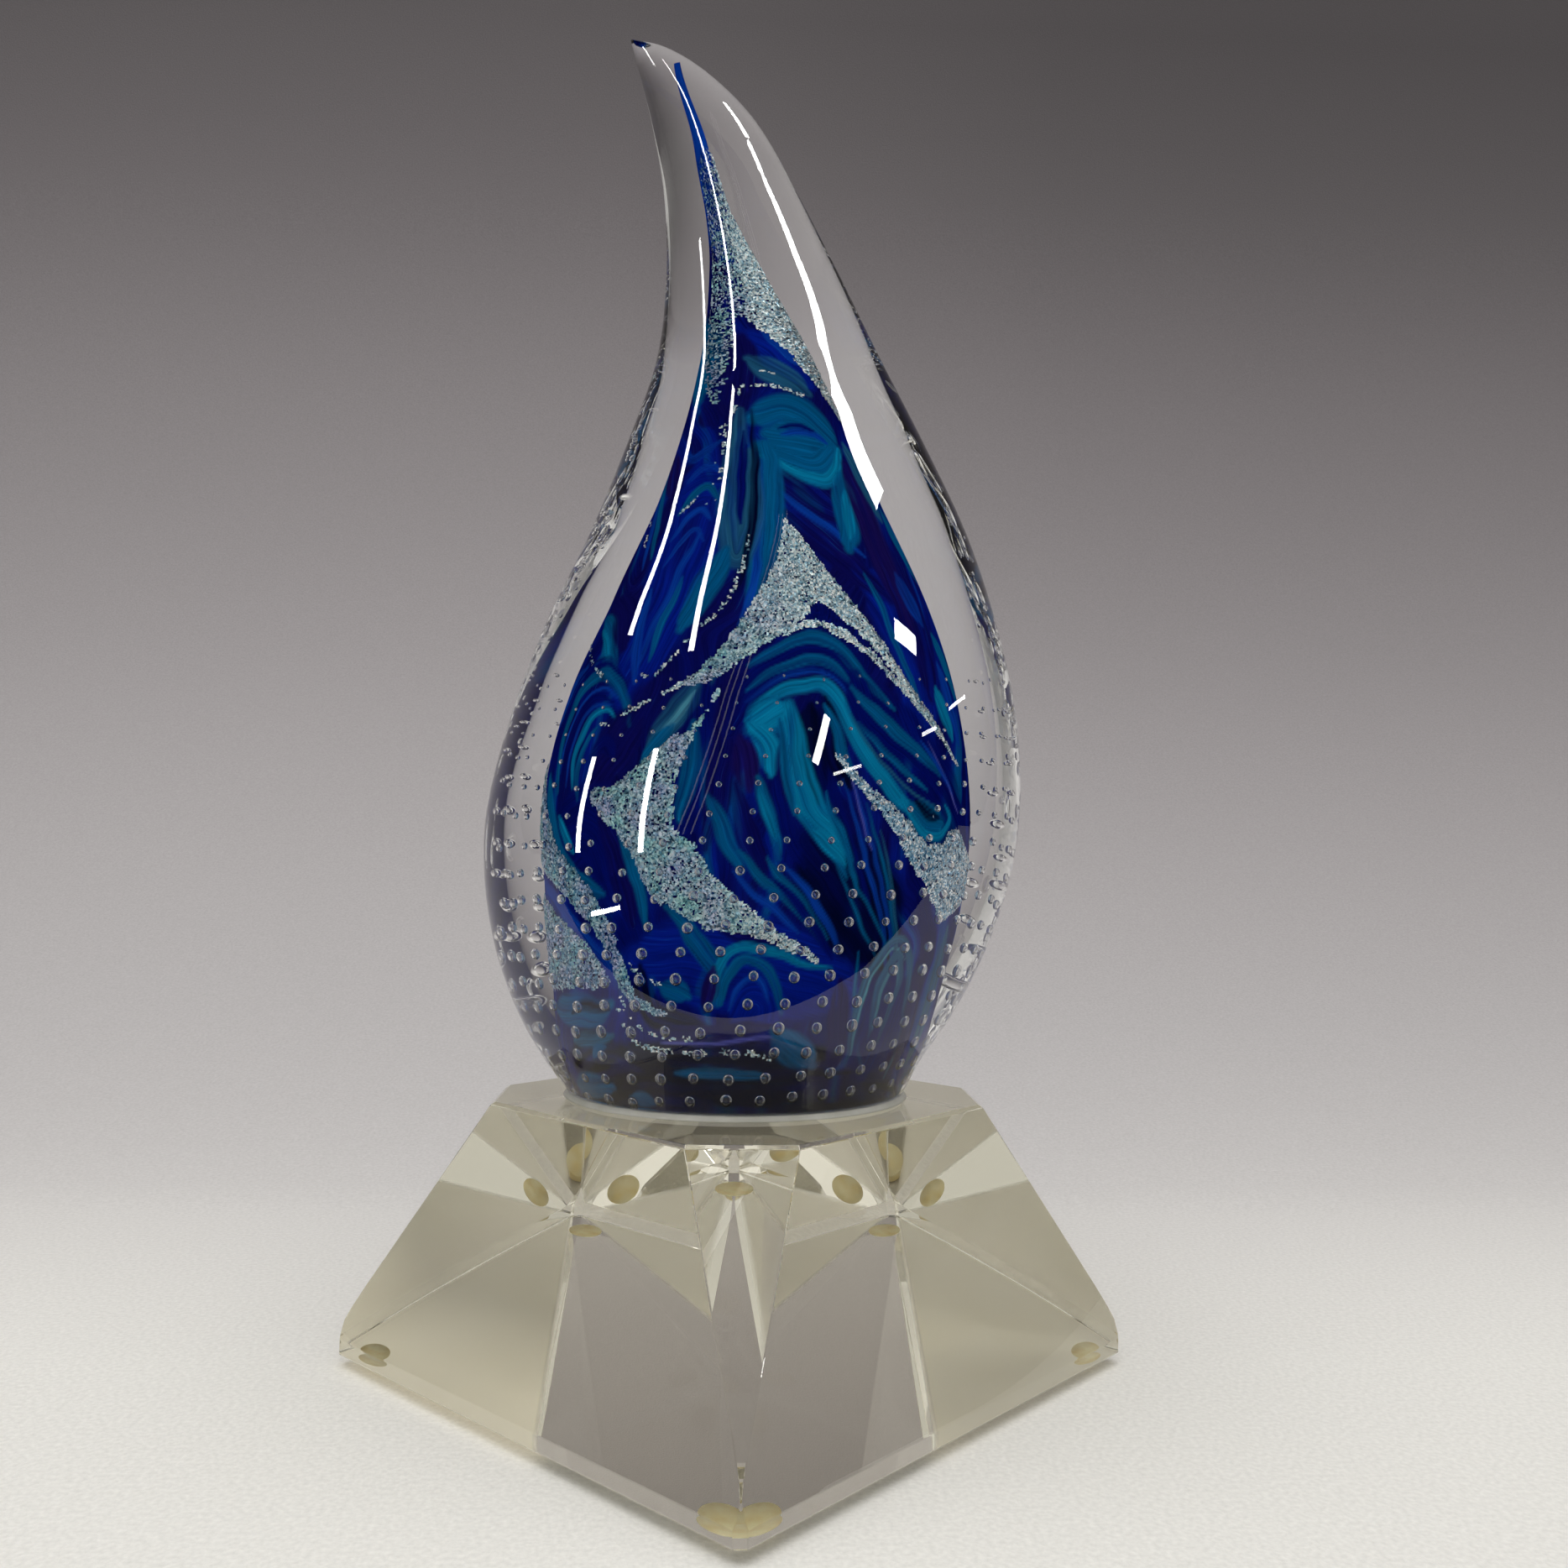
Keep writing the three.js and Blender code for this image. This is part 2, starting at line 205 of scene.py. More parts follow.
# ---------------------------------------------------------------- materials
class Nodes:
    """A node tree being made, with short calls for the nodes that the materials share."""

    def __init__(self, name):
        self.material = bpy.data.materials.new(name)
        self.material.use_nodes = True
        self.tree = self.material.node_tree
        self.shader = self.tree.nodes["Principled BSDF"]

    def add(self, kind, **settings):
        node = self.tree.nodes.new(kind)
        for key, value in settings.items():
            if hasattr(node, key):
                setattr(node, key, value)
            else:
                node.inputs[key.replace("_", " ").title()].default_value = value
        return node

    def link(self, source, target):
        self.tree.links.new(source, target)
        return target

    def set(self, **values):
        for key, value in values.items():
            self.shader.inputs[key.replace("_", " ")].default_value = value

    def where(self):
        return self.add("ShaderNodeTexCoord").outputs["Object"]

    def noise(self, vector, scale, detail=2.0, roughness=0.5, distortion=0.0):
        node = self.add("ShaderNodeTexNoise")
        node.inputs["Scale"].default_value = scale
        node.inputs["Detail"].default_value = detail
        node.inputs["Roughness"].default_value = roughness
        node.inputs["Distortion"].default_value = distortion
        self.link(vector, node.inputs["Vector"])
        return node.outputs["Fac"]

    def maths(self, operation, a, b=0.0, c=0.0):
        node = self.add("ShaderNodeMath", operation=operation)
        for socket, value in zip(node.inputs, (a, b, c)):
            if isinstance(value, bpy.types.NodeSocket):
                self.link(value, socket)
            else:
                socket.default_value = value
        return node.outputs[0]

    def clamped(self, value):
        return self.maths("MINIMUM", self.maths("MAXIMUM", value, 0.0), 1.0)

    def ramp(self, factor, *stops):
        node = self.add("ShaderNodeValToRGB")
        elements = node.color_ramp.elements
        while len(elements) < len(stops):
            elements.new(0.5)
        for element, (position, colour) in zip(elements, stops):
            element.position = position
            element.color = (*colour, 1.0) if len(colour) == 3 else colour
        self.link(factor, node.inputs["Fac"])
        return node.outputs["Color"]

    def mix(self, factor, a, b, blend="MIX"):
        node = self.add("ShaderNodeMix", data_type="RGBA", blend_type=blend)
        for socket, value in ((node.inputs[0], factor), (node.inputs[6], a), (node.inputs[7], b)):
            if isinstance(value, bpy.types.NodeSocket):
                self.link(value, socket)
            elif isinstance(value, (int, float)):
                socket.default_value = value
            else:
                socket.default_value = (*value, 1.0)
        return node.outputs[2]

    def attribute(self, name):
        return self.add("ShaderNodeAttribute", attribute_name=name)

    def bump(self, height, strength, distance):
        node = self.add("ShaderNodeBump")
        node.inputs["Strength"].default_value = strength
        node.inputs["Distance"].default_value = distance
        self.link(height, node.inputs["Height"])
        self.link(node.outputs["Normal"], self.shader.inputs["Normal"])


def linear(red, green, blue):
    """A colour given as 0 to 255 display values, as linear numbers."""
    return tuple(
        c / 12.92 if c <= 0.04045 else ((c + 0.055) / 1.055) ** 2.4
        for c in (red / 255, green / 255, blue / 255)
    )


def clear_glass(name, ior, tint_low, tint_high):
    """Clear glass whose tint drifts very slightly through it."""
    n = Nodes(name)
    n.set(Roughness=0.0, IOR=ior, Transmission_Weight=1.0)
    n.link(
        n.ramp(n.noise(n.where(), 25.0), (0.35, tint_low), (0.65, tint_high)),
        n.shader.inputs["Base Color"],
    )
    return n.material


def wear(piece, material, slot, *nodes):
    """Gives a piece its material and its body, and hides the nodes it stands for. The slot is not used."""
    piece.data.materials.clear()
    piece.data.materials.append(material)
    if nodes:
        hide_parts(*nodes)
    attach(piece, "root")
    return piece


# ---------------------------------------------------------------- the flame's clear glass
CASING_COLUMNS = 256
FOOT_ROUNDING = 0.5


def casing_rings():
    heights = np.concatenate(
        [
            np.linspace(FOOT, FOOT + 4, 12),
            np.arange(FOOT + 5.2, 238, 0.9),
            np.linspace(238.6, 248.7, 24),
        ]
    )
    angles = np.arange(CASING_COLUMNS) * 360 / CASING_COLUMNS
    rings = on_oval(CASING, angles[None, :], heights[:, None])
    waviness = layered_noise(rings / 55.0, 5, 1) - 0.5
    middle = rings.mean(1, keepdims=True)
    outward = rings - middle
    outward /= np.linalg.norm(outward, axis=-1, keepdims=True) + 1e-9
    fade = np.clip((248 - heights) / 30, 0, 1) * np.clip((heights - FOOT) / 20, 0, 1)
    rings += outward * (waviness * 0.09 * fade[:, None])[..., None]
    low = rings[0] - outward[0] * FOOT_ROUNDING
    rings[0, :, 2] += FOOT_ROUNDING * 0.6
    rings[1:12, :, 2] = np.maximum(rings[1:12, :, 2], rings[0, :, 2] + 0.02)
    return np.concatenate([low[None], rings])


BUBBLE_COLUMNS = 34
BUBBLE_ROWS = 17
BUBBLE_ROW_STEP = 4.3
BUBBLE_FIRST_ROW = 52.6
BUBBLE_TURN = 1.15
BUBBLE_RISE = 1.5


def bubble_voids():
    """(points, faces) of the bubbles, each facing into its hollow, because that side is air."""
    ball = bmesh.new()
    bmesh.ops.create_icosphere(ball, subdivisions=3, radius=1.0)
    unit = np.array([v.co[:] for v in ball.verts])
    corners = np.array([[v.index for v in f.verts][::-1] + [-1] for f in ball.faces])
    ball.free()
    points, faces, count = [], [], 0
    for row in range(BUBBLE_ROWS):
        height = BUBBLE_FIRST_ROW + BUBBLE_ROW_STEP * row
        reach = np.interp(height, [53, 65, 74, 91, 101, 122], [29.8, 32.2, 32.8, 34.0, 34.4, 32.0])
        wide = np.interp(height, [53, 78, 91, 101, 113, 122], [1.9, 1.75, 1.35, 1.0, 0.65, 0.4])
        tall = np.interp(height, [53, 65, 78, 91, 101, 113], [2.4, 2.3, 1.9, 1.45, 1.0, 0.6])
        centre, _ = profile(CORE, np.array([height]))
        for column in range(BUBBLE_COLUMNS):
            angle = 6.0 + BUBBLE_TURN * row + column * 360 / BUBBLE_COLUMNS + rng.normal(0, 0.35)
            a = math.radians(angle)
            far = reach + rng.normal(0, 0.35)
            size = 1 + rng.normal(0, 0.07)
            place = np.array(
                [
                    centre[0] + far * math.sin(a),
                    FLAME_Y - far * FLAT * math.cos(a),
                    height + BUBBLE_RISE * math.sin(a) + rng.normal(0, 0.18),
                ]
            )
            shape = unit * np.array([wide, wide, tall]) * (size / 2)
            points.append(shape + place)
            faces.append(np.where(corners >= 0, corners + count, -1))
            count += len(unit)
    return np.concatenate(points), np.concatenate(faces)


outer_points, outer_faces = closed_tube(casing_rings())
bubble_points, bubble_faces = bubble_voids()
flame = new_object(
    "flame_glass",
    np.concatenate([outer_points, bubble_points]),
    np.concatenate(
        [outer_faces, np.where(bubble_faces >= 0, bubble_faces + len(outer_points), -1)]
    ),
)
wear(
    flame,
    clear_glass("clear_glass", 1.5, (0.985, 0.99, 0.985), (1.0, 1.0, 1.0)),
    "clear_glass",
    "flame_casing",
)

# ---------------------------------------------------------------- the colour core
TINTS = {
    "black": linear(3, 9, 44),
    "navy": linear(4, 16, 102),
    "violet": linear(14, 14, 88),
    "plum": linear(26, 18, 88),
    "cobalt": linear(6, 31, 142),
    "blue": linear(10, 62, 166),
    "teal": linear(4, 92, 144),
    "aqua": linear(8, 130, 176),
    "slate": linear(34, 92, 130),
    "pale": linear(80, 150, 172),
    "lilac": linear(92, 96, 190),
}

# Each stroke: tint, width in millimetres, then its way over the core as (angle, height).
STROKES = [
    # broad grounds, and the swelling at the back
    ("navy", 20, (115, 97), (150, 96), (179, 97)),
    ("slate", 6, (128, 86), (140, 96), (150, 110)),
    ("violet", 16, (-95, 140), (-72, 136), (-58, 146), (-60, 158)),
    ("cobalt", 14, (-55, 118), (-48, 132), (-45, 150), (-50, 160)),
    ("cobalt", 12, (60, 112), (58, 126), (50, 136), (40, 140)),
    ("violet", 9, (66, 120), (66, 132), (60, 142), (54, 150)),
    ("navy", 16, (-80, 92), (-60, 96), (-50, 88), (-38, 78)),
    ("cobalt", 16, (-40, 77), (-20, 77), (0, 76), (20, 74), (36, 72)),
    ("black", 16, (16, 96), (26, 90), (38, 84), (48, 78)),
    ("navy", 18, (40, 118), (52, 106), (66, 100), (84, 92)),
    ("black", 13, (-110, 51), (-50, 53), (0, 53), (50, 53), (110, 51)),
    ("black", 9, (-48, 62), (-24, 60), (0, 60), (16, 60), (36, 62)),
    ("teal", 12, (-105, 190), (-95, 186), (-84, 180), (-76, 174)),
    ("cobalt", 9, (-6, 186), (14, 184), (34, 180), (50, 176)),
    ("blue", 3, (10, 187), (30, 184), (50, 180)),
    ("violet", 6, (-20, 186), (-20, 180), (-24, 172), (-30, 166)),
    ("slate", 5, (-14, 181), (6, 179), (26, 177), (44, 174)),
    ("blue", 16, (0, 204), (0, 216), (0, 232), (0, 246)),
    # the large teal oval near the top
    ("teal", 8, (-12, 168.5), (14, 170), (34, 168), (54, 163)),
    ("teal", 9, (-8, 163), (12, 161), (30, 160), (48, 163)),
    ("teal", 7, (0, 166), (20, 165), (40, 164)),
    ("aqua", 2.6, (-8, 161), (0, 159.8), (12, 158), (25, 157), (36, 157), (46, 159), (56, 163)),
    ("blue", 1.6, (10, 165.8), (22, 166.2), (36, 165.8), (46, 164)),
    ("navy", 1.2, (8, 166.8), (22, 167.2), (38, 166.4)),
    ("violet", 5, (-8, 159), (6, 155.5), (22, 152), (36, 149)),
    ("blue", 1.6, (3, 154), (15, 151), (30, 147), (45, 143)),
    ("violet", 5, (5, 150.5), (20, 146), (36, 141), (52, 135)),
    ("teal", 5, (48, 158), (44, 153), (41, 148), (37, 144)),
    ("aqua", 2.4, (47, 155), (43, 150), (40, 146)),
    ("plum", 6, (56, 160), (58, 150), (58, 142), (62, 130)),
    ("slate", 3.4, (66, 164), (70, 156), (72, 150)),
    ("teal", 4, (80, 152), (84, 146), (88, 140)),
    ("blue", 4, (64, 140), (68, 136), (72, 132)),
    ("teal", 5, (-3, 164), (-4, 154), (-5, 144), (-10, 134)),
    ("blue", 1.6, (-9, 160), (-8, 148), (-9, 138), (-14, 130)),
    ("slate", 5, (-22, 170), (-25, 158), (-23, 149), (-18, 142.5), (-14, 149), (-15, 162)),
    ("navy", 1.6, (-19, 166), (-20, 156), (-18, 148)),
    ("black", 1.4, (-11, 170), (-12, 158), (-12, 146), (-16, 136)),
    # upper left
    ("violet", 6, (-60, 172), (-52, 170), (-45, 168)),
    ("blue", 1.6, (-75, 163), (-62, 161), (-50, 162.5), (-37, 164.5)),
    ("cobalt", 8, (-60, 154), (-48, 156), (-34, 156)),
    ("blue", 1.3, (-60, 156), (-52, 158.6), (-42, 159.4), (-34, 158)),
    ("teal", 1.4, (-59, 150), (-51, 154), (-43, 155.4), (-34, 153)),
    ("blue", 1.3, (-58, 145), (-51, 149.4), (-43, 151), (-36, 149)),
    ("blue", 1.0, (-56, 140), (-50, 145), (-43, 147), (-37, 145)),
    ("teal", 5, (-37, 129), (-33, 134), (-29, 138), (-24, 143)),
    ("blue", 1.6, (-52, 122), (-50, 130), (-46, 138), (-40, 146)),
    ("teal", 1.4, (-47, 124), (-46, 132), (-43, 138)),
    ("teal", 1.6, (-98, 160), (-90, 155), (-80, 150), (-68, 142)),
    ("blue", 1.4, (-96, 154), (-84, 148), (-72, 140)),
    ("plum", 5, (-90, 162), (-82, 158), (-74, 154)),
    ("blue", 2.0, (-60, 136), (-57, 128), (-50, 120)),
    ("teal", 4, (-92, 131), (-80, 129.4), (-72, 125.4), (-61, 121)),
    ("aqua", 1.4, (-88, 129), (-78, 127), (-68, 123)),
    ("violet", 6, (-86, 134), (-74, 132), (-63, 126)),
    # the vortex on the left
    ("blue", 6, (-104, 112), (-94, 117), (-86, 122)),
    ("navy", 5, (-88, 100), (-90, 110), (-84, 119), (-70, 122.4), (-54, 119)),
    ("teal", 2.4, (-80, 102), (-85, 110), (-82, 118), (-70, 121.4), (-60, 120), (-52, 117), (-48, 113)),
    ("blue", 0.8, (-80, 105), (-81, 111), (-76, 116.6), (-66, 119), (-56, 117.6)),
    ("navy", 1.6, (-76, 100), (-78.6, 107), (-76, 113.6), (-68, 117.4), (-58, 117)),
    ("blue", 0.8, (-74, 103), (-76, 108.6), (-73, 113.4), (-67, 116), (-58, 116.4)),
    ("aqua", 1.5, (-70, 103), (-72.6, 108), (-70, 112), (-66, 114.5), (-60, 115.5), (-55, 114.6)),
    ("teal", 1.4, (-66, 101), (-68.6, 105), (-67.4, 110), (-63, 112.4)),
    ("violet", 9, (-60, 104), (-56, 107), (-52, 110), (-46, 116)),
    ("navy", 3, (-62, 108), (-57, 110), (-52, 108)),
    ("teal", 5, (-92, 104), (-84, 98), (-78, 93), (-66, 90)),
    ("aqua", 2.0, (-77, 98.4), (-72, 96), (-67, 93.6)),
    ("teal", 3, (-70, 90), (-60, 88), (-52, 87)),
    ("violet", 4, (-54, 99), (-48, 94), (-44, 88), (-41, 82)),
    ("teal", 2.4, (-46, 97), (-42, 93), (-38, 88), (-36, 82)),
    # pale wedge beside the lower glitter star
    ("slate", 4.5, (-38, 108.6), (-34, 112.6), (-28, 117), (-20, 121.5)),
    ("pale", 1.6, (-36, 110), (-31, 114.4), (-25, 118.6)),
    ("teal", 2.4, (-40, 107.5), (-35, 110.6), (-31, 113.4)),
    ("navy", 7, (-22, 120), (-20, 110), (-22, 100), (-24, 96)),
    ("teal", 2.6, (-24, 114), (-23, 106), (-25, 98)),
    ("violet", 5, (-14, 122), (-13, 110), (-14, 101), (-16, 94)),
    ("plum", 4, (-9, 111), (-6, 107), (-4, 103)),
    # the arches in the middle
    ("navy", 6, (-12, 112), (-6, 119), (6, 124.6), (16, 125.6), (28, 122), (38, 115), (52, 109)),
    ("teal", 2.2, (-8, 123), (0, 126), (8, 127.5), (15, 128), (22, 127), (28, 124), (35, 121), (45, 117)),
    ("navy", 1.6, (-8, 121), (0, 124), (8, 125.6), (15, 126), (22, 125), (28, 122.4), (36, 118)),
    ("teal", 1.6, (-8, 119), (-1, 122), (8, 123.8), (15, 124.4), (22, 123.2), (28, 120.4)),
    ("blue", 1.0, (-8, 117), (0, 120.4), (8, 122.2), (15, 122.6), (22, 121.2), (28, 118)),
    ("violet", 1.6, (0, 119), (8, 121), (15, 121.6), (22, 120), (28, 116), (36, 111)),
    (
        "aqua", 2.8, (-7, 114), (-3, 117), (3, 119), (10, 120.2), (16, 120.5), (20, 119.5), (24, 117),
        (27, 114), (30, 111), (35, 107.5), (42, 104), (50, 101), (65, 98.5),
    ),
    ("teal", 6.5, (-6, 112.6), (0, 115), (6, 116.6)),
    ("aqua", 4.4, (-5, 113), (0, 115.4), (5, 117)),
    ("aqua", 3.6, (-6, 113.4), (-2, 111.6), (1, 109), (2, 105.4)),
    ("violet", 3, (5, 111), (6, 106), (7, 102)),
    ("black", 5, (13, 117), (13.4, 112), (14, 107), (17, 102)),
    ("aqua", 4.6, (6, 117.4), (8, 112.6), (9, 107.6), (12, 103), (17, 99.5), (23, 96.8), (29, 93.6)),
    ("teal", 1.5, (3, 115), (5, 110), (6.4, 105), (10, 100)),
    ("black", 4, (18, 118), (20, 113), (22, 108), (26, 104)),
    ("navy", 7, (30, 122), (34, 117), (40, 112)),
    ("teal", 1.8, (18, 117), (22, 113.4), (24, 109), (28, 105)),
    ("teal", 2.6, (-17, 102), (-12, 98), (-8, 94), (-5, 91)),
    ("teal", 2.2, (-2, 105), (1, 101), (4, 97), (6, 93)),
    ("aqua", 1.2, (-1, 103), (2, 99), (4.6, 95.6)),
    ("navy", 2.0, (3, 105), (6, 100), (9, 96), (14, 92)),
    ("violet", 3, (-8, 104), (-5, 98), (-1, 93), (3, 89)),
    ("teal", 1.6, (12, 100), (17, 97), (23, 94), (28, 90.6)),
    ("aqua", 2.0, (16, 97.6), (22, 95), (27, 92.4)),
    ("teal", 1.2, (19, 103), (23, 98.5), (28, 94), (33, 88)),
    ("navy", 1.4, (21, 104), (26, 98), (32, 92), (38, 85)),
    ("blue", 0.8, (24, 105), (30, 98), (37, 90), (45, 82), (52, 74)),
    ("lilac", 0.5, (27, 105), (31, 100), (35, 95)),
    ("blue", 0.8, (28, 104), (35, 96), (42, 88), (50, 80), (56, 72)),
    ("teal", 0.7, (32, 102), (39, 94), (46, 86), (54, 77)),
    ("slate", 0.6, (38, 98), (45, 89), (52, 81), (58, 74)),
    # right side
    ("teal", 2.4, (28, 120), (35, 117), (45, 113), (55, 110), (65, 107)),
    ("navy", 1.6, (30, 116.6), (38, 113), (48, 109.6), (58, 106.6)),
    ("teal", 1.2, (30, 114.4), (38, 110.6), (48, 107), (58, 104.2)),
    ("slate", 0.6, (27, 115.6), (33, 111), (41, 107), (52, 103.4), (62, 101.8)),
    ("lilac", 0.5, (60, 112), (68, 107), (78, 101)),
    ("blue", 0.9, (56, 112), (64, 108.6), (74, 104)),
    ("teal", 5, (50, 101.6), (58, 99.6), (66, 99.4)),
    ("aqua", 1.5, (46, 103), (50, 100), (55, 98), (60, 97.2), (66, 97.5), (70, 99), (71, 100.5), (68, 102)),
    ("black", 2.0, (52, 102.4), (58, 100.6), (64, 100)),
    ("teal", 1.4, (42, 140), (47, 133), (52, 125), (60, 117)),
    ("aqua", 3.4, (70, 121), (73, 117), (77, 113)),
    ("blue", 4, (76, 125), (80, 118), (84, 112)),
    ("teal", 4, (80, 130), (86, 125), (92, 119)),
    ("teal", 4, (96, 140), (98, 126), (100, 112), (102, 98)),
    # the combed fan below the arches
    ("teal", 1.6, (-6, 94), (0, 90.4), (8, 87.4), (17, 83.6), (24, 79.6)),
    ("blue", 1.2, (-8, 91), (-2, 88), (6, 85), (14, 81.6)),
    ("teal", 1.2, (2, 93), (8, 89.6), (16, 85.6), (24, 81)),
    ("blue", 1.4, (8, 92), (15, 88.4), (22, 84.4), (30, 79)),
    ("navy", 1.6, (4, 90.4), (11, 87), (19, 82.8), (27, 77.6)),
    ("teal", 0.6, (24, 92), (30, 88), (36, 83), (44, 78)),
    ("teal", 0.5, (28, 92), (34, 88), (41, 83.6), (49, 79)),
    # lower middle
    ("teal", 3, (-28, 85), (-22, 83), (-18, 80), (-13, 77), (-10, 75), (-10, 70)),
    ("violet", 3, (-12, 83), (-6, 81.6), (4, 80.6), (14, 78.6)),
    ("cobalt", 7, (-2, 67), (1, 71), (6, 70), (6, 66)),
    ("aqua", 1.5, (-12, 69.6), (-11, 75), (-8, 78), (-3, 79.5), (4, 79), (10, 78), (18, 76.5), (27, 76)),
    ("teal", 1.6, (-9, 70), (-8, 74), (-4, 77), (0, 77.5), (5, 76), (9, 73), (12, 69)),
    ("blue", 1.0, (-6, 69), (-4, 72.6), (0, 74.6), (4, 73.6), (7, 70.6)),
    ("teal", 3.4, (-30, 73), (-25, 72), (-20, 71)),
    ("black", 4, (-38, 76), (-34, 69), (-24, 67), (-12, 66)),
    ("plum", 2.4, (-14, 69), (-13, 72.6), (-12, 76)),
    ("lilac", 0.7, (-30, 63.6), (-15, 63.6), (0, 64.2), (10, 65)),
    ("violet", 2.4, (-34, 65.4), (-15, 65.4), (0, 66), (12, 67)),
    ("teal", 5, (10, 66), (18, 63), (28, 60)),
    ("teal", 2.4, (-26, 58.4), (-8, 58.4), (10, 58)),
    ("plum", 4, (31, 74), (34, 68), (37, 59)),
    ("teal", 1.0, (37, 79), (39, 71), (46, 63), (55, 58)),
    ("navy", 13, (53, 58), (55, 68), (56, 76)),
    ("slate", 1.5, (42, 60), (41, 70), (45, 77), (52, 81), (60, 79), (66, 72), (70, 65), (72, 57)),
    ("pale", 0.5, (43, 62), (42.6, 70), (46, 76), (52, 79.6), (59, 78)),
    ("slate", 1.3, (50, 65), (48, 72), (51, 77), (55, 78.5), (58, 75), (57, 70), (56, 64)),
    ("pale", 0.5, (51, 66), (50, 72), (52, 76), (55, 77), (57, 74)),
    ("plum", 5, (68, 82), (72, 72), (75, 60)),
    ("slate", 4, (84, 84), (86, 72), (88, 60)),
    # lower left
    ("blue", 3, (-104, 89.6), (-85, 86.5), (-70, 82.5), (-60, 79), (-53, 76.5), (-49, 73)),
    ("black", 8, (-84, 60), (-66, 62), (-50, 62)),
    ("teal", 6, (-92, 69.6), (-74, 69), (-60, 68.6), (-51, 70)),
    ("black", 2.2, (-76, 68.6), (-64, 69.6), (-52, 69)),
    ("slate", 2.6, (-78, 64), (-64, 64), (-52, 64.6)),
    ("teal", 1.6, (-66, 61), (-61, 62.6), (-56, 63)),
    ("teal", 5, (-92, 57), (-76, 56), (-60, 56)),
    ("teal", 3, (-50, 54), (-44, 53.4), (-38, 52.4)),
]



def smooth_path(points, count):
    """A smooth line through the points, as count points."""
    p = np.array(points, float)
    p = np.vstack([2 * p[0] - p[1], p, 2 * p[-1] - p[-2]])
    t = np.linspace(0, len(p) - 3 - 1e-6, count)
    i = t.astype(int)
    t = (t - i)[:, None]
    a, b, c, d = p[i], p[i + 1], p[i + 2], p[i + 3]
    return 0.5 * (
        2 * b + (c - a) * t + (2 * a - 5 * b + 4 * c - d) * t**2 + (3 * b - a - 3 * c + d) * t**3
    )


def steps(*spans):
    """Values from (start, end, step) spans that follow each other."""
    return np.concatenate([np.arange(a, b, s) for a, b, s in spans])


core_angles = steps((-180, -118, 2.0), (-118, 118, 0.5), (118, 180, 2.0))
core_heights = steps((FOOT + 0.05, 200, 0.4), (200, 243, 1.0))
CORE_DENSE = np.meshgrid(core_heights, core_angles, indexing="ij")


# A swelling at the core's back right: how proud it stands, then its place and its spread round
# the core in degrees and up it in millimetres.
BACK_BULGE = 4.3
BULGE_ANGLE = 150
BULGE_HEIGHT = 96
BULGE_TURN = 22
BULGE_RISE = 17


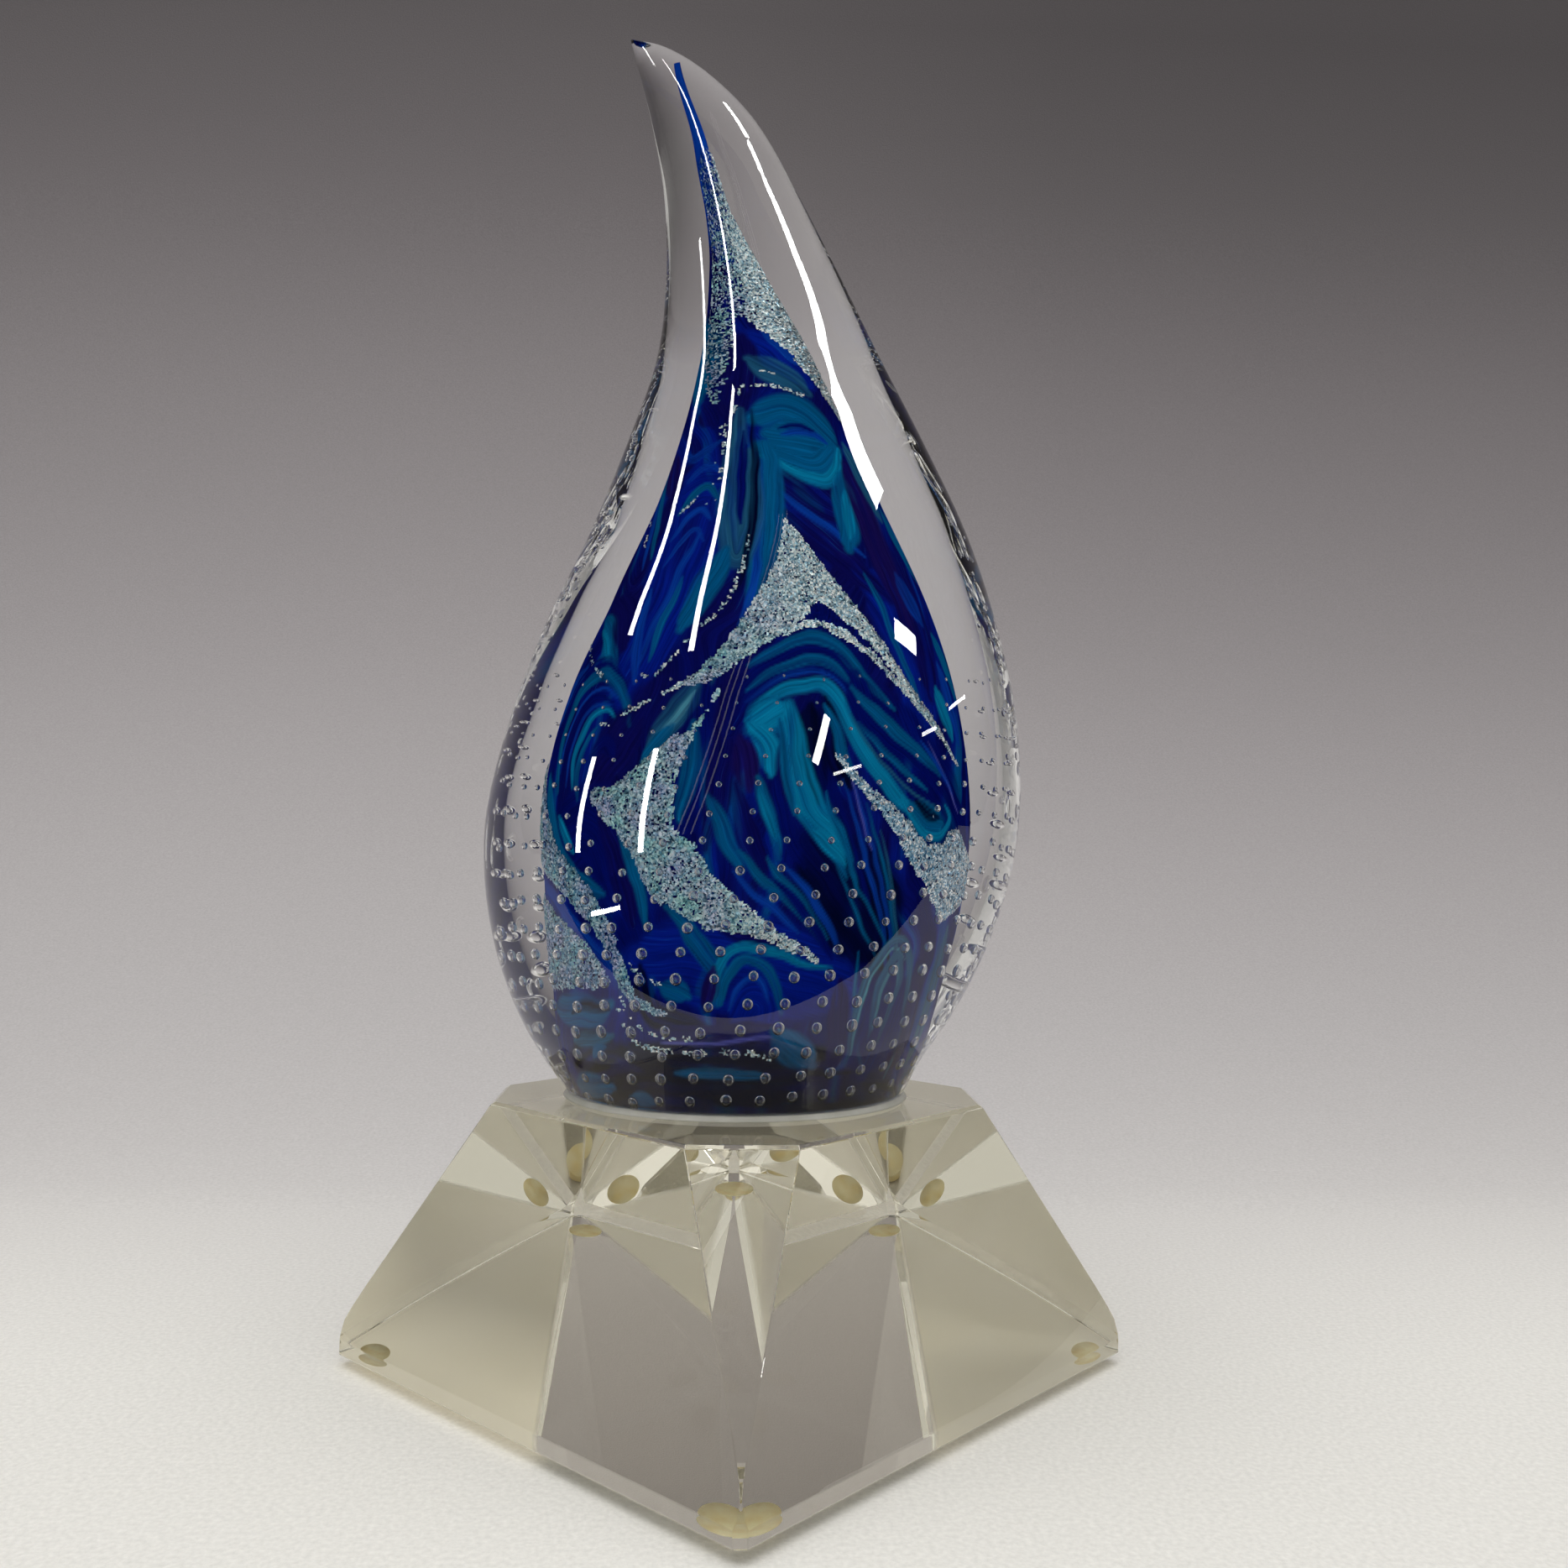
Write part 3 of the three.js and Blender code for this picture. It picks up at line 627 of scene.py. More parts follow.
def paint_core():
    """The core's colour, and how far each point lies across and along its streak."""
    z, phi = CORE_DENSE
    _, radius = profile(CORE, z)
    arc = np.radians(phi) * radius
    spots = np.stack([arc / 16.0, z / 16.0], -1)
    drift = layered_noise(spots, 21) - 0.5
    sway = layered_noise(spots + 31.7, 22) - 0.5
    across = arc + drift * 14 + np.sin(z / 13.0) * 2.5
    along = z + sway * 6
    grain = lattice_noise(np.stack([across / 2.6, along / 26.0], -1), 23)
    blend = np.clip(layered_noise(spots * 1.7 + 9, 24) * 2.2 - 0.6, 0, 1)
    ground = [np.array(TINTS[k]) for k in ("navy", "violet", "cobalt", "teal")]
    colour = ground[0] + (ground[1] - ground[0]) * blend[..., None]
    colour += (ground[2] - colour) * np.clip(grain * 2.4 - 1.0, 0, 1)[..., None]
    colour += (ground[3] - colour) * np.clip(grain * 4 - 3.0, 0, 1)[..., None]
    wobble_x = (layered_noise(np.stack([arc / 5, z / 5], -1), 31, 2) - 0.5) * 1.0
    wobble_z = (layered_noise(np.stack([arc / 5 + 40, z / 5], -1), 32, 2) - 0.5) * 1.0
    for number, (tint, width, *way) in enumerate(STROKES):
        path = smooth_path(way, 14 * (len(way) - 1))
        _, path_radius = profile(CORE, path[:, 1])
        reach = width * 0.75 + 1.0
        turn = math.degrees(reach / max(path_radius.min(), 2.0))
        rows = np.flatnonzero(
            (core_heights > path[:, 1].min() - reach) & (core_heights < path[:, 1].max() + reach)
        )
        cols = np.flatnonzero(
            (core_angles > path[:, 0].min() - turn) & (core_angles < path[:, 0].max() + turn)
        )
        if not len(rows) or not len(cols):
            continue
        part = (slice(rows[0], rows[-1] + 1), slice(cols[0], cols[-1] + 1))
        r = radius[part]
        x = np.radians(phi[part]) * r + wobble_x[part]
        y = z[part] + wobble_z[part]
        best = np.full(x.shape, 1e9)
        signed = np.zeros(x.shape)
        place = np.zeros(x.shape)
        gone = 0.0
        length = np.hypot(
            np.diff(np.radians(path[:, 0])) * path_radius[1:], np.diff(path[:, 1])
        )
        for k in range(len(path) - 1):
            ax = np.radians(path[k, 0]) * r
            ay = path[k, 1]
            bx = np.radians(path[k + 1, 0]) * r
            by = path[k + 1, 1]
            dx, dy = bx - ax, by - ay
            t, ox, oy = off_segment(x, y, ax, ay, dx, dy)
            far = np.hypot(ox, oy)
            near = far < best
            best = np.where(near, far, best)
            side = np.sign(dx * oy - dy * ox)
            signed = np.where(near, far * side, signed)
            place = np.where(near, gone + t * length[k], place)
            gone += length[k]
        share = place / max(gone, 1e-6)
        half = 0.5 * width * np.sin(np.pi * np.clip(share, 0.02, 0.98)) ** 0.45
        edge = 0.35 + 0.12 * width
        mask = np.clip((half - best) / edge + 0.5, 0, 1)
        mask = mask * mask * (3 - 2 * mask)
        streaks = lattice_noise(
            np.stack([signed / (0.25 + 0.09 * width) + 7 * number, place / 14.0], -1), 40 + number
        )
        streaks = np.clip(0.35 + 1.1 * streaks, 0, 1)
        weight = (mask * streaks)[..., None]
        colour[part] += (np.array(TINTS[tint]) - colour[part]) * weight
        across[part] = np.where(mask > 0.35, signed + 13.7 * number, across[part])
        along[part] = np.where(mask > 0.35, place, along[part])
    return colour, across, along


def with_ends(values):
    """Values at the core's grid, then their means at its two end points."""
    return np.concatenate([values.reshape(-1, values.shape[-1]), values[[0, -1]].mean(1)])


def core_mesh():
    z, phi = CORE_DENSE
    aside = (phi - BULGE_ANGLE + 180) % 360 - 180
    bulge = BACK_BULGE * np.exp(-((aside / BULGE_TURN) ** 2) - ((z - BULGE_HEIGHT) / BULGE_RISE) ** 2)
    points, faces = closed_tube(on_oval(CORE, phi, z, bulge))
    made = new_object("swirled_core", points, faces)
    colour, across, along = paint_core()
    rgba = np.concatenate([colour, np.ones((*colour.shape[:2], 1))], -1)
    add_layer(made, "paint", "FLOAT_COLOR", with_ends(rgba), "color")
    streak = np.stack([across, along, np.zeros_like(across)], -1)
    add_layer(made, "streak", "FLOAT_VECTOR", with_ends(streak), "vector")
    return made


def core_material():
    n = Nodes("core_glass")
    n.set(Roughness=0.35, Specular_IOR_Level=0.0)
    paint = n.attribute("paint").outputs["Color"]
    streak = n.attribute("streak").outputs["Vector"]
    stretch = n.add("ShaderNodeMapping")
    stretch.inputs["Scale"].default_value = (2.2, 0.07, 1.0)
    n.link(streak, stretch.inputs["Vector"])
    threads = n.noise(stretch.outputs["Vector"], 1.0, 3.0, 0.6)
    shade = n.ramp(threads, (0.3, (0.55, 0.55, 0.6)), (0.52, (0.95, 0.95, 0.95)), (0.74, (1.35, 1.35, 1.3)))
    colour = n.mix(1.0, paint, shade, "MULTIPLY")
    light = n.ramp(threads, (0.66, (0, 0, 0)), (0.74, (1, 1, 1)))
    n.link(
        n.mix(n.maths("MULTIPLY", light, 0.16), colour, TINTS["aqua"]),
        n.shader.inputs["Base Color"],
    )
    return n.material


core = wear(core_mesh(), core_material(), "core_glass", "colour_core")

# ---------------------------------------------------------------- glitter patches
# Outlines as (angle, height) points round each patch.
GLITTER = {
    "glitter_top": [
        (-76, 190), (-73, 182), (-62, 175.5), (-47, 171.8), (-41, 174), (-37, 179), (-31, 185),
        (-24, 190.4), (-8, 190.2), (4, 188), (20, 186), (38, 183), (52, 178.6), (64, 175), (78, 171),
        (96, 167), (112, 190), (130, 224), (0, 226), (-60, 222), (-70, 202),
    ],
    "glitter_centre": [
        (-34, 119.4), (-22, 120.2), (-16, 121.8), (-10, 124.6), (-2, 127.4), (6, 129.2),
        (11, 132), (17, 134.7), (24, 132.4), (33, 129.4), (42, 125.4), (50, 120.6), (57, 116.6),
        (64, 114), (72, 110.6), (80, 108.6), (74, 111.4), (65, 115.6), (59, 118.2), (52, 122),
        (45, 127), (38, 131.6), (30, 136), (21, 141), (11, 146.4), (5, 149), (1, 142.6),
        (-6, 136.4), (-12, 131.6), (-18, 127), (-25, 122.6),
    ],
    "glitter_lower": [
        (-17, 119.8), (-21, 115.4), (-25, 112.4), (-32, 111), (-40, 107), (-49, 103.2), (-60, 102.2),
        (-54, 99), (-47, 96.6), (-41, 93.6), (-37, 89.6), (-33, 86.4), (-25, 84.8), (-16, 82.2),
        (-5, 81.4), (4, 80.6), (12, 78.8), (22, 76.8), (23, 77.6), (16, 79.6), (8, 81.8),
        (0, 84.6), (-8, 87.6), (-15, 91.2), (-20, 95), (-26, 96.6), (-27.5, 101), (-26, 108),
        (-22, 113), (-17, 118.6),
    ],
    "glitter_right": [
        (22, 108.8), (27, 105.6), (33, 102.6), (40, 99.4), (45, 96.8), (49, 94.2), (54, 92),
        (60, 90.2), (65, 88), (71, 86.2), (78, 85), (88, 87), (100, 89.4), (100, 94.6), (88, 96.4),
        (80, 98.4), (73, 98.8), (68, 96.6), (60, 96), (54, 97.2), (48, 99.8), (42, 101.8),
        (36, 103.6), (29, 106.2), (22, 109.4),
    ],
    "glitter_left": [
        (-104, 107), (-94, 102), (-84, 97), (-75, 93), (-66, 90.6), (-58, 87.6), (-52, 84),
        (-47, 79.6), (-43, 74), (-40, 71.4), (-34, 70), (-27, 68.4), (-30, 68), (-40, 69.2),
        (-45, 71.4), (-48, 74), (-52, 78.6), (-60, 82.8), (-72, 86.4), (-84, 89), (-104, 92),
    ],
    "glitter_left_low": [
        (-104, 87.6), (-88, 85.4), (-74, 82.4), (-62, 79.4), (-54, 75.4), (-51, 73.2), (-58, 72.4),
        (-74, 72.6), (-90, 72.6), (-104, 73.4),
    ],
}  # fmt: skip
GLITTER["glitter_arc"] = [
    (2, 128), (7, 129.2), (12, 130), (18, 130), (27, 128), (38, 124.6), (48, 120.4), (57, 117),
    (62, 115.8), (57, 118), (48, 121.6), (38, 125.9), (28, 129.5), (19, 131), (12, 130.8),
    (6, 129.8),
]  # fmt: skip
CRINKLE_STEP = 0.32


def inside_by(polygon, x, y):
    """How far points lie inside a polygon, less than 0 outside, in the polygon's units."""
    p = np.array(polygon, float)
    q = np.roll(p, -1, axis=0)
    best = np.full(x.shape, 1e9)
    inside = np.zeros(x.shape, bool)
    for (ax, ay), (bx, by) in zip(p, q):
        dx, dy = bx - ax, by - ay
        _, ox, oy = off_segment(x, y, ax, ay, dx, dy, 1e-12)
        best = np.minimum(best, np.hypot(ox, oy))
        crosses = (ay > y) != (by > y)
        with np.errstate(divide="ignore", invalid="ignore"):
            inside ^= crosses & (x < dx * (y - ay) / (by - ay) + ax)
    return np.where(inside, best, -best)


def crinkled(name, phi, z, kept, lift, cover, tint_and_sheen):
    """Crinkled film on the core from a grid of points, where it is kept, with a speck a face.
    Cover is the share of the film that is left, and the last argument runs from the foil's own tints,
    dimmed by painted shade, to a bright painted sheen."""
    points = on_oval(CORE, phi, z, lift)
    rows, columns = z.shape
    index = np.arange(rows * columns).reshape(rows, columns)
    a, b = index[:-1, :-1], index[:-1, 1:]
    d, c = index[1:, :-1], index[1:, 1:]
    k = kept.astype(int)
    whole = k[:-1, :-1] + k[:-1, 1:] + k[1:, :-1] + k[1:, 1:] > 1
    whole &= rng.random(whole.shape) < np.broadcast_to(cover, z.shape)[1:, 1:]
    flip = (rng.random(whole.shape) > 0.5)[..., None]
    first = np.where(flip, np.stack([a, b, c], -1), np.stack([a, b, d], -1))
    second = np.where(flip, np.stack([a, c, d], -1), np.stack([b, c, d], -1))
    used, faces = np.unique(np.concatenate([first[whole], second[whole]]), return_inverse=True)
    faces = faces.reshape(-1, 3)
    faces = np.concatenate([faces, np.full((len(faces), 1), -1)], 1)
    made = new_object(name, points.reshape(-1, 3)[used], faces, smooth=False)
    add_layer(made, "speck", "FLOAT", rng.random(len(made.data.polygons)), domain="FACE")
    add_layer(made, "tint_and_sheen", "FLOAT", np.broadcast_to(tint_and_sheen, z.shape).ravel()[used])
    return made


def crinkle_grid(points):
    """(angle, height) grids a little larger than the points' extent, with uneven steps."""
    p = np.array(points, float)
    _, radius = profile(CORE, np.array([p[:, 1].mean()]))
    step = math.degrees(CRINKLE_STEP / radius[0])
    angles = np.arange(p[:, 0].min() - 3, p[:, 0].max() + 3, step)
    heights = np.arange(p[:, 1].min() - 1, p[:, 1].max() + 1, CRINKLE_STEP)
    z, phi = np.meshgrid(heights, angles, indexing="ij")
    jitter = rng.uniform(-0.35, 0.35, (2, *z.shape)) * CRINKLE_STEP
    return phi + np.degrees(jitter[0] / radius[0]), z + jitter[1], math.radians(radius[0])


# Angles over which the film turns from tinted and dimmed to bright: a painted sheen towards the right.
PAINTED_SHEEN_FROM = (-20, 12)


def glitter_patch(name, outline, seed):
    """Crinkled film on the core, torn along its outline."""
    phi, z, scale = crinkle_grid(outline)
    depth = inside_by(np.array(outline, float) * (scale, 1), phi * scale, z)
    torn = (layered_noise(np.stack([phi * scale, z], -1) / 0.9, seed) - 0.5) * 1.1
    lift = 0.2 + rng.uniform(-0.15, 0.15, z.shape)
    lift = np.where(depth < 0.5, 0.04 + (lift - 0.04) * np.clip(depth / 0.5, 0, 1), lift)
    # Painted sheen: the film is brighter towards the right, where the light falls.
    right = np.clip((phi - PAINTED_SHEEN_FROM[0]) / (PAINTED_SHEEN_FROM[1] - PAINTED_SHEEN_FROM[0]), 0, 1)
    sparse = 0.55 if name.startswith("glitter_top") else 0.92
    cover = (sparse + (0.97 - sparse) * right) * np.clip((228 - z) / 20, 0.1, 1)
    return crinkled(name, phi, z, depth + torn > 0, lift, cover, right)


def glitter_line(name, way, width, seed):
    """A broken line of specks of the same film."""
    phi, z, scale = crinkle_grid(way)
    path = smooth_path(way, 10 * (len(way) - 1)) * (scale, 1)
    far = np.full(z.shape, 1e9)
    for (ax, ay), (bx, by) in zip(path[:-1], path[1:]):
        _, ox, oy = off_segment(phi * scale, z, ax, ay, bx - ax, by - ay)
        far = np.minimum(far, np.hypot(ox, oy))
    breaks = lattice_noise(np.stack([phi * scale, z], -1) / 1.3, seed)
    kept = far < width * np.clip(breaks * 2.0 - 0.3, 0.0, 1.0)
    return crinkled(name, phi, z, kept, 0.2 + rng.uniform(-0.15, 0.15, z.shape), 0.62, 1.0)


def glitter_material(name, dark, mid, bright):
    n = Nodes(name)
    n.set(Metallic=1.0, Roughness=0.3)
    where = n.where()
    speck = n.attribute("speck").outputs["Fac"]
    colour = n.ramp(speck, (0.0, dark), (0.34, mid), (0.66, bright), (0.9, (0.97, 0.98, 0.98)))
    green, pale, purple = (0.6, 0.88, 0.85), (0.85, 0.9, 0.95), (0.78, 0.72, 0.93)
    hues = n.ramp(n.noise(where, 260.0, 2.0), (0.34, green), (0.5, pale), (0.66, purple))
    # The foil's own tints, darkened by painted shade where the painted sheen is weak.
    tinted_and_shaded = n.mix(1.0, n.mix(1.0, colour, hues, "MULTIPLY"), (0.74, 0.8, 0.84), "MULTIPLY")
    tint_and_sheen = n.attribute("tint_and_sheen").outputs["Fac"]
    n.link(n.mix(tint_and_sheen, tinted_and_shaded, colour), n.shader.inputs["Base Color"])
    n.bump(n.noise(where, 1500.0, 3.0), 0.6, 0.0003)
    return n.material


SILVER = glitter_material("glitter_silver", (0.02, 0.075, 0.14), (0.36, 0.6, 0.74), (0.86, 1.0, 1.0))
BLUISH = glitter_material("glitter_bluish", (0.02, 0.09, 0.2), (0.2, 0.42, 0.6), (0.55, 0.72, 0.84))
BLUISH_PATCHES = ("glitter_left", "glitter_left_low", "glitter_right")
for seed, (name, outline) in enumerate(GLITTER.items()):
    wear(
        glitter_patch(name + "_film", outline, 60 + seed),
        BLUISH if name in BLUISH_PATCHES else SILVER,
        "glitter",
        name,
    )

# Broken lines of specks as (half width, way over the core).
SPARKLES = (
    (0.42, (-47, 69), (-45, 66), (-40, 63.5), (-32, 62.5), (-20, 62), (-8, 62.3), (2, 62.2), (10, 61.5)),
    (0.25, (-46, 71), (-43, 67.6), (-38, 65.8), (-30, 64.6), (-18, 64.2)),
    (0.25, (-27, 170), (-23, 174), (-18, 175.5), (5, 175.3), (20, 174.8), (36, 173.6)),
    (0.18, (-15, 179), (6, 178), (26, 177)),
    (0.12, (-38.5, 172), (-38, 166), (-38, 158), (-39, 150)),
    (0.1, (-34, 168), (-33.6, 160), (-35, 152)),
    (0.24, (-57, 150), (-50, 152.6), (-42, 155)),
    (0.3, (-13, 146), (-15, 141), (-18, 136), (-23, 132), (-28, 130)),
    (0.3, (-28, 130), (-36, 125), (-43, 121.2), (-52, 122)),
    (0.34, (-52, 114.6), (-42, 117.2), (-30, 120), (-21, 121)),
    (0.22, (-95, 126.6), (-82, 123.6), (-68, 121)),
    (0.2, (-90, 150), (-80, 144), (-70, 138)),
    (0.3, (-64, 112.8), (-59, 113.2), (-55, 112.5)),
    (0.26, (-44, 77), (-38, 74.6), (-30, 73)),
    (0.18, (60, 100.5), (63, 99.6), (66, 99)),
)  # fmt: skip
for number, (width, *way) in enumerate(SPARKLES):
    wear(
        glitter_line("sparkle_line_%d" % (number + 1), way, width, 90 + number), SILVER, "glitter"
    )

# ---------------------------------------------------------------- the base
CORNER_REACH = 70.8
TOP_FACET_REACH = 43.4
FACET_FOOT = 12.4
FACET_FOOT_REACH = 66.4
SOFTENED_CORNER = [(3.6, 70.8), (6, 70.3), (8.5, 68.9)]
TOP_BEVEL = 0.5


def cut_square(flat, cut, height):
    """One ring of the base: a square on its corner, with its corners cut off."""
    half = math.sqrt(2) * flat - cut
    ring = []
    for turn in range(4):
        for side in (-half, half):
            x, y = side, -cut
            for _ in range(turn):
                x, y = -y, x
            ring.append((x, y, BASE_BOTTOM + height))
    return ring


def side_at(height):
    share = (height - BAND_HEIGHT) / (BASE_HEIGHT - BAND_HEIGHT)
    return (BASE_SIDE + (BASE_TOP_SIDE - BASE_SIDE) * share) / 2


def base_mesh():
    bevel_foot = BASE_HEIGHT - TOP_BEVEL
    share = (bevel_foot - FACET_FOOT) / (BASE_HEIGHT - FACET_FOOT)
    bevel_reach = FACET_FOOT_REACH + (TOP_FACET_REACH - FACET_FOOT_REACH) * share
    rings = [
        cut_square(BASE_SIDE / 2 - 0.3, CORNER_REACH - 0.3, 0),
        cut_square(BASE_SIDE / 2, CORNER_REACH, 0.3),
        cut_square(BASE_SIDE / 2, CORNER_REACH, BAND_HEIGHT),
        *(cut_square(side_at(h), reach, h) for h, reach in SOFTENED_CORNER),
        cut_square(side_at(FACET_FOOT), FACET_FOOT_REACH, FACET_FOOT),
        cut_square(side_at(bevel_foot), bevel_reach, bevel_foot),
        cut_square(BASE_TOP_SIDE / 2 - TOP_BEVEL, TOP_FACET_REACH - TOP_BEVEL, BASE_HEIGHT),
    ]
    points, faces = closed_tube(np.array(rings))
    made = new_object("clear_base", points, faces, smooth=False)
    bm = bmesh.new()
    bm.from_mesh(made.data)
    flat_pairs = [
        e for e in bm.edges if e.calc_face_angle(0) < math.radians(0.4) and len(e.link_faces) == 2
    ]
    bmesh.ops.dissolve_edges(bm, edges=flat_pairs, use_verts=True)
    sharp = [e for e in bm.edges if e.calc_face_angle(0) > math.radians(12)]
    bmesh.ops.bevel(
        bm, geom=sharp, offset=0.22 * MM, segments=2, profile=0.5, affect="EDGES", clamp_overlap=True
    )
    bm.to_mesh(made.data)
    bm.free()
    return made


# The underside is cloudy outside two lines: their distance from the middle, and its change with y.
CLOUD_EDGE = 0.0198
CLOUD_SLANT = -0.26
# How sharply the cloud sets in, in its full strength per metre.
CLOUD_ONSET = 700.0
# The cloud's faint emission, which stands in for light from the cloth that no ray brings through
# the glass: at its least, at its front left, and how far in metres it takes to rise.
CLOUD_GLOW = 0.05
CLOUD_GLOW_FRONT = 0.25
CLOUD_REACH = 0.044


def base_material():
    """Crystal, clear but for the side corners of its underside, which are rough, cream and less clear, with
    a faint painted glow that brightens them.
    """
    n = Nodes("base_crystal")
    n.set(IOR=1.52)
    spot = n.add("ShaderNodeSeparateXYZ")
    n.link(n.where(), spot.inputs[0])
    x, y, z = spot.outputs
    edge = n.maths("MULTIPLY_ADD", y, CLOUD_SLANT, CLOUD_EDGE)
    beyond = n.maths("SUBTRACT", n.maths("ABSOLUTE", x), edge)
    zone = n.clamped(n.maths("MULTIPLY_ADD", beyond, CLOUD_ONSET, 0.5))
    cloud = n.maths("MULTIPLY", zone, n.maths("LESS_THAN", z, (BASE_BOTTOM + 0.05) * MM))
    n.link(n.maths("MULTIPLY_ADD", cloud, -0.8, 1.0), n.shader.inputs["Transmission Weight"])
    n.link(n.maths("MULTIPLY", cloud, 0.5), n.shader.inputs["Roughness"])
    drift = n.noise(n.where(), 25.0)
    clear = n.ramp(drift, (0.35, (0.868, 0.844, 0.732)), (0.65, (0.853, 0.825, 0.71)))
    cream = n.ramp(drift, (0.35, (0.97, 0.93, 0.8)), (0.65, (1.0, 0.97, 0.87)))
    n.link(n.mix(cloud, clear, cream), n.shader.inputs["Base Color"])
    # Painted light: a faint glow in the cloud, strongest at its front left.
    n.set(Emission_Color=(1.0, 0.93, 0.76, 1.0))
    forward = n.maths("MULTIPLY_ADD", x, -0.8 / CLOUD_REACH, n.maths("MULTIPLY", y, -1 / CLOUD_REACH))
    glow = n.maths("MULTIPLY_ADD", n.clamped(forward), CLOUD_GLOW_FRONT - CLOUD_GLOW, CLOUD_GLOW)
    n.link(n.maths("MULTIPLY", cloud, glow), n.shader.inputs["Emission Strength"])
    return n.material


wear(base_mesh(), base_material(), "base_crystal", "crystal_base")

# ---------------------------------------------------------------- glue and bumpers
def glue_material():
    """Set glue over the ground foot: cream, cloudy and a little see-through."""
    n = Nodes("glue")
    n.set(Roughness=0.45, IOR=1.48, Transmission_Weight=0.25)
    n.link(
        n.ramp(n.noise(n.where(), 220.0, 3.0), (0.3, (0.78, 0.77, 0.68)), (0.7, (0.93, 0.92, 0.85))),
        n.shader.inputs["Base Color"],
    )
    return n.material


glue_angles = np.arange(96) * 3.75
glue_rings = []
for height, grow in ((BASE_TOP + 0.01, 1.3), (BASE_TOP + 0.25, 0.9), (FOOT - 0.15, 0.6), (FOOT, 0.2)):
    ring = on_oval(CASING, glue_angles, np.full(96, FOOT), grow - 0.6)
    ring[:, 2] = height
    glue_rings.append(ring)
glue = new_object("glue_layer", *closed_tube(np.array(glue_rings)))
wear(glue, glue_material(), "adhesive", "adhesive_film")


def bumper_mesh(name, x, y):
    turns = np.radians(np.arange(48) * 7.5)
    section = [(2.6, 0.0), (3.1, 0.03), (3.6, 0.3), (3.85, 0.7), (4.0, 1.2), (4.0, 1.8), (3.9, 2.04)]
    rings = np.array(
        [
            np.stack([x + r * np.cos(turns), y + r * np.sin(turns), np.full(48, h)], -1)
            for r, h in section
        ]
    )
    return new_object(name, *closed_tube(rings))


def bumper_material():
    n = Nodes("yellowed_bumper")
    n.set(Roughness=0.4, IOR=1.45)
    n.link(
        n.ramp(
            n.noise(n.where(), 300.0, 3.0),
            (0.35, linear(238, 218, 160)),
            (0.65, linear(252, 243, 202)),
        ),
        n.shader.inputs["Base Color"],
    )
    return n.material


AMBER = bumper_material()
REACH = 61.0
for name, x, y in (
    ("front", 0, -REACH), ("right", REACH, 0), ("back", 0, REACH), ("left", -REACH, 0),
):
    wear(bumper_mesh("soft_bumper_" + name, x, y), AMBER, "bumper", "bumper_" + name)

# ---------------------------------------------------------------- the setting
CLOTH_FRONT = -0.083
SWEEP_START = 0.1
SWEEP_RADIUS = 0.5
# How light the cloth is painted at each length of the way from the sweep's start, in metres: painted shade
# that darkens it up the sweep.
CLOTH_PAINTED_SHADES = (
    (-0.3, 0.79), (-0.1, 0.775), (-0.05, 0.72), (0.0, 0.655), (0.04, 0.57), (0.11, 0.505), (0.18, 0.46),
    (0.29, 0.41), (0.39, 0.36), (0.48, 0.31), (0.58, 0.265), (0.67, 0.23), (0.76, 0.187),
    (0.84, 0.145), (0.91, 0.115), (1.3, 0.1),
)  # fmt: skip


def backdrop():
    """Cloth on the floor that sweeps up into a backdrop behind the award, with painted shade that darkens
    it up the sweep and towards its right.
    """
    way = np.concatenate([np.linspace(CLOTH_FRONT - SWEEP_START, 0, 10), np.linspace(0.03, 2.2, 60)])
    turn = np.clip(way, 0, SWEEP_RADIUS * math.pi / 2) / SWEEP_RADIUS
    rise = np.clip(way - SWEEP_RADIUS * math.pi / 2, 0, None)
    y = SWEEP_START + np.minimum(way, 0) + SWEEP_RADIUS * np.sin(turn)
    z = SWEEP_RADIUS * (1 - np.cos(turn)) + rise
    xs = np.linspace(-1.6, 1.6, 24)
    points = np.stack(
        [np.broadcast_to(xs, (len(way), 24)), *(np.repeat(v[:, None], 24, 1) for v in (y, z))], -1
    )
    index = np.arange(len(way) * 24).reshape(len(way), 24)
    faces = np.stack([index[:-1, :-1], index[:-1, 1:], index[1:, 1:], index[1:, :-1]], -1)
    made = new_object("backdrop", points.reshape(-1, 3) * 1000, faces.reshape(-1, 4))
    lengths, shades = zip(*CLOTH_PAINTED_SHADES)
    shade = np.interp(way, lengths, shades)[:, None]
    # Painted shade: the right side is darker, more so higher up.
    painted_shade_right = np.clip(way / 0.8, 0.1, 1)[:, None] * 0.27 * np.clip((xs + 0.1) / 0.35, 0, 1)
    add_layer(made, "shade", "FLOAT", shade * (1 - painted_shade_right))
    n = Nodes("backdrop_cloth")
    n.set(Roughness=0.9, Specular_IOR_Level=0.05)
    where = n.where()
    grain = n.noise(where, 1100.0, 2.0)
    # The stored shade is painted shade; the grain adds the weave, and the tint follows the shade.
    shade = n.attribute("shade").outputs["Fac"]
    weave_and_painted_shade = n.maths("MULTIPLY", shade, n.maths("MULTIPLY_ADD", grain, 0.3, 0.85))
    tint = n.ramp(shade, (0.15, (1.0, 0.92, 0.97)), (0.45, (1.0, 0.96, 0.975)), (0.8, (1.0, 0.985, 0.94)))
    n.link(n.mix(1.0, weave_and_painted_shade, tint, "MULTIPLY"), n.shader.inputs["Base Color"])
    n.bump(grain, 0.25, 0.0006)
    made.data.materials.append(n.material)


backdrop()

world = bpy.data.worlds.new("studio")
bpy.context.scene.world = world
world.use_nodes = True
sky = world.node_tree
glow = sky.nodes["Background"]
parts = sky.nodes.new("ShaderNodeSeparateXYZ")
sky.links.new(sky.nodes.new("ShaderNodeTexCoord").outputs["Generated"], parts.inputs[0])


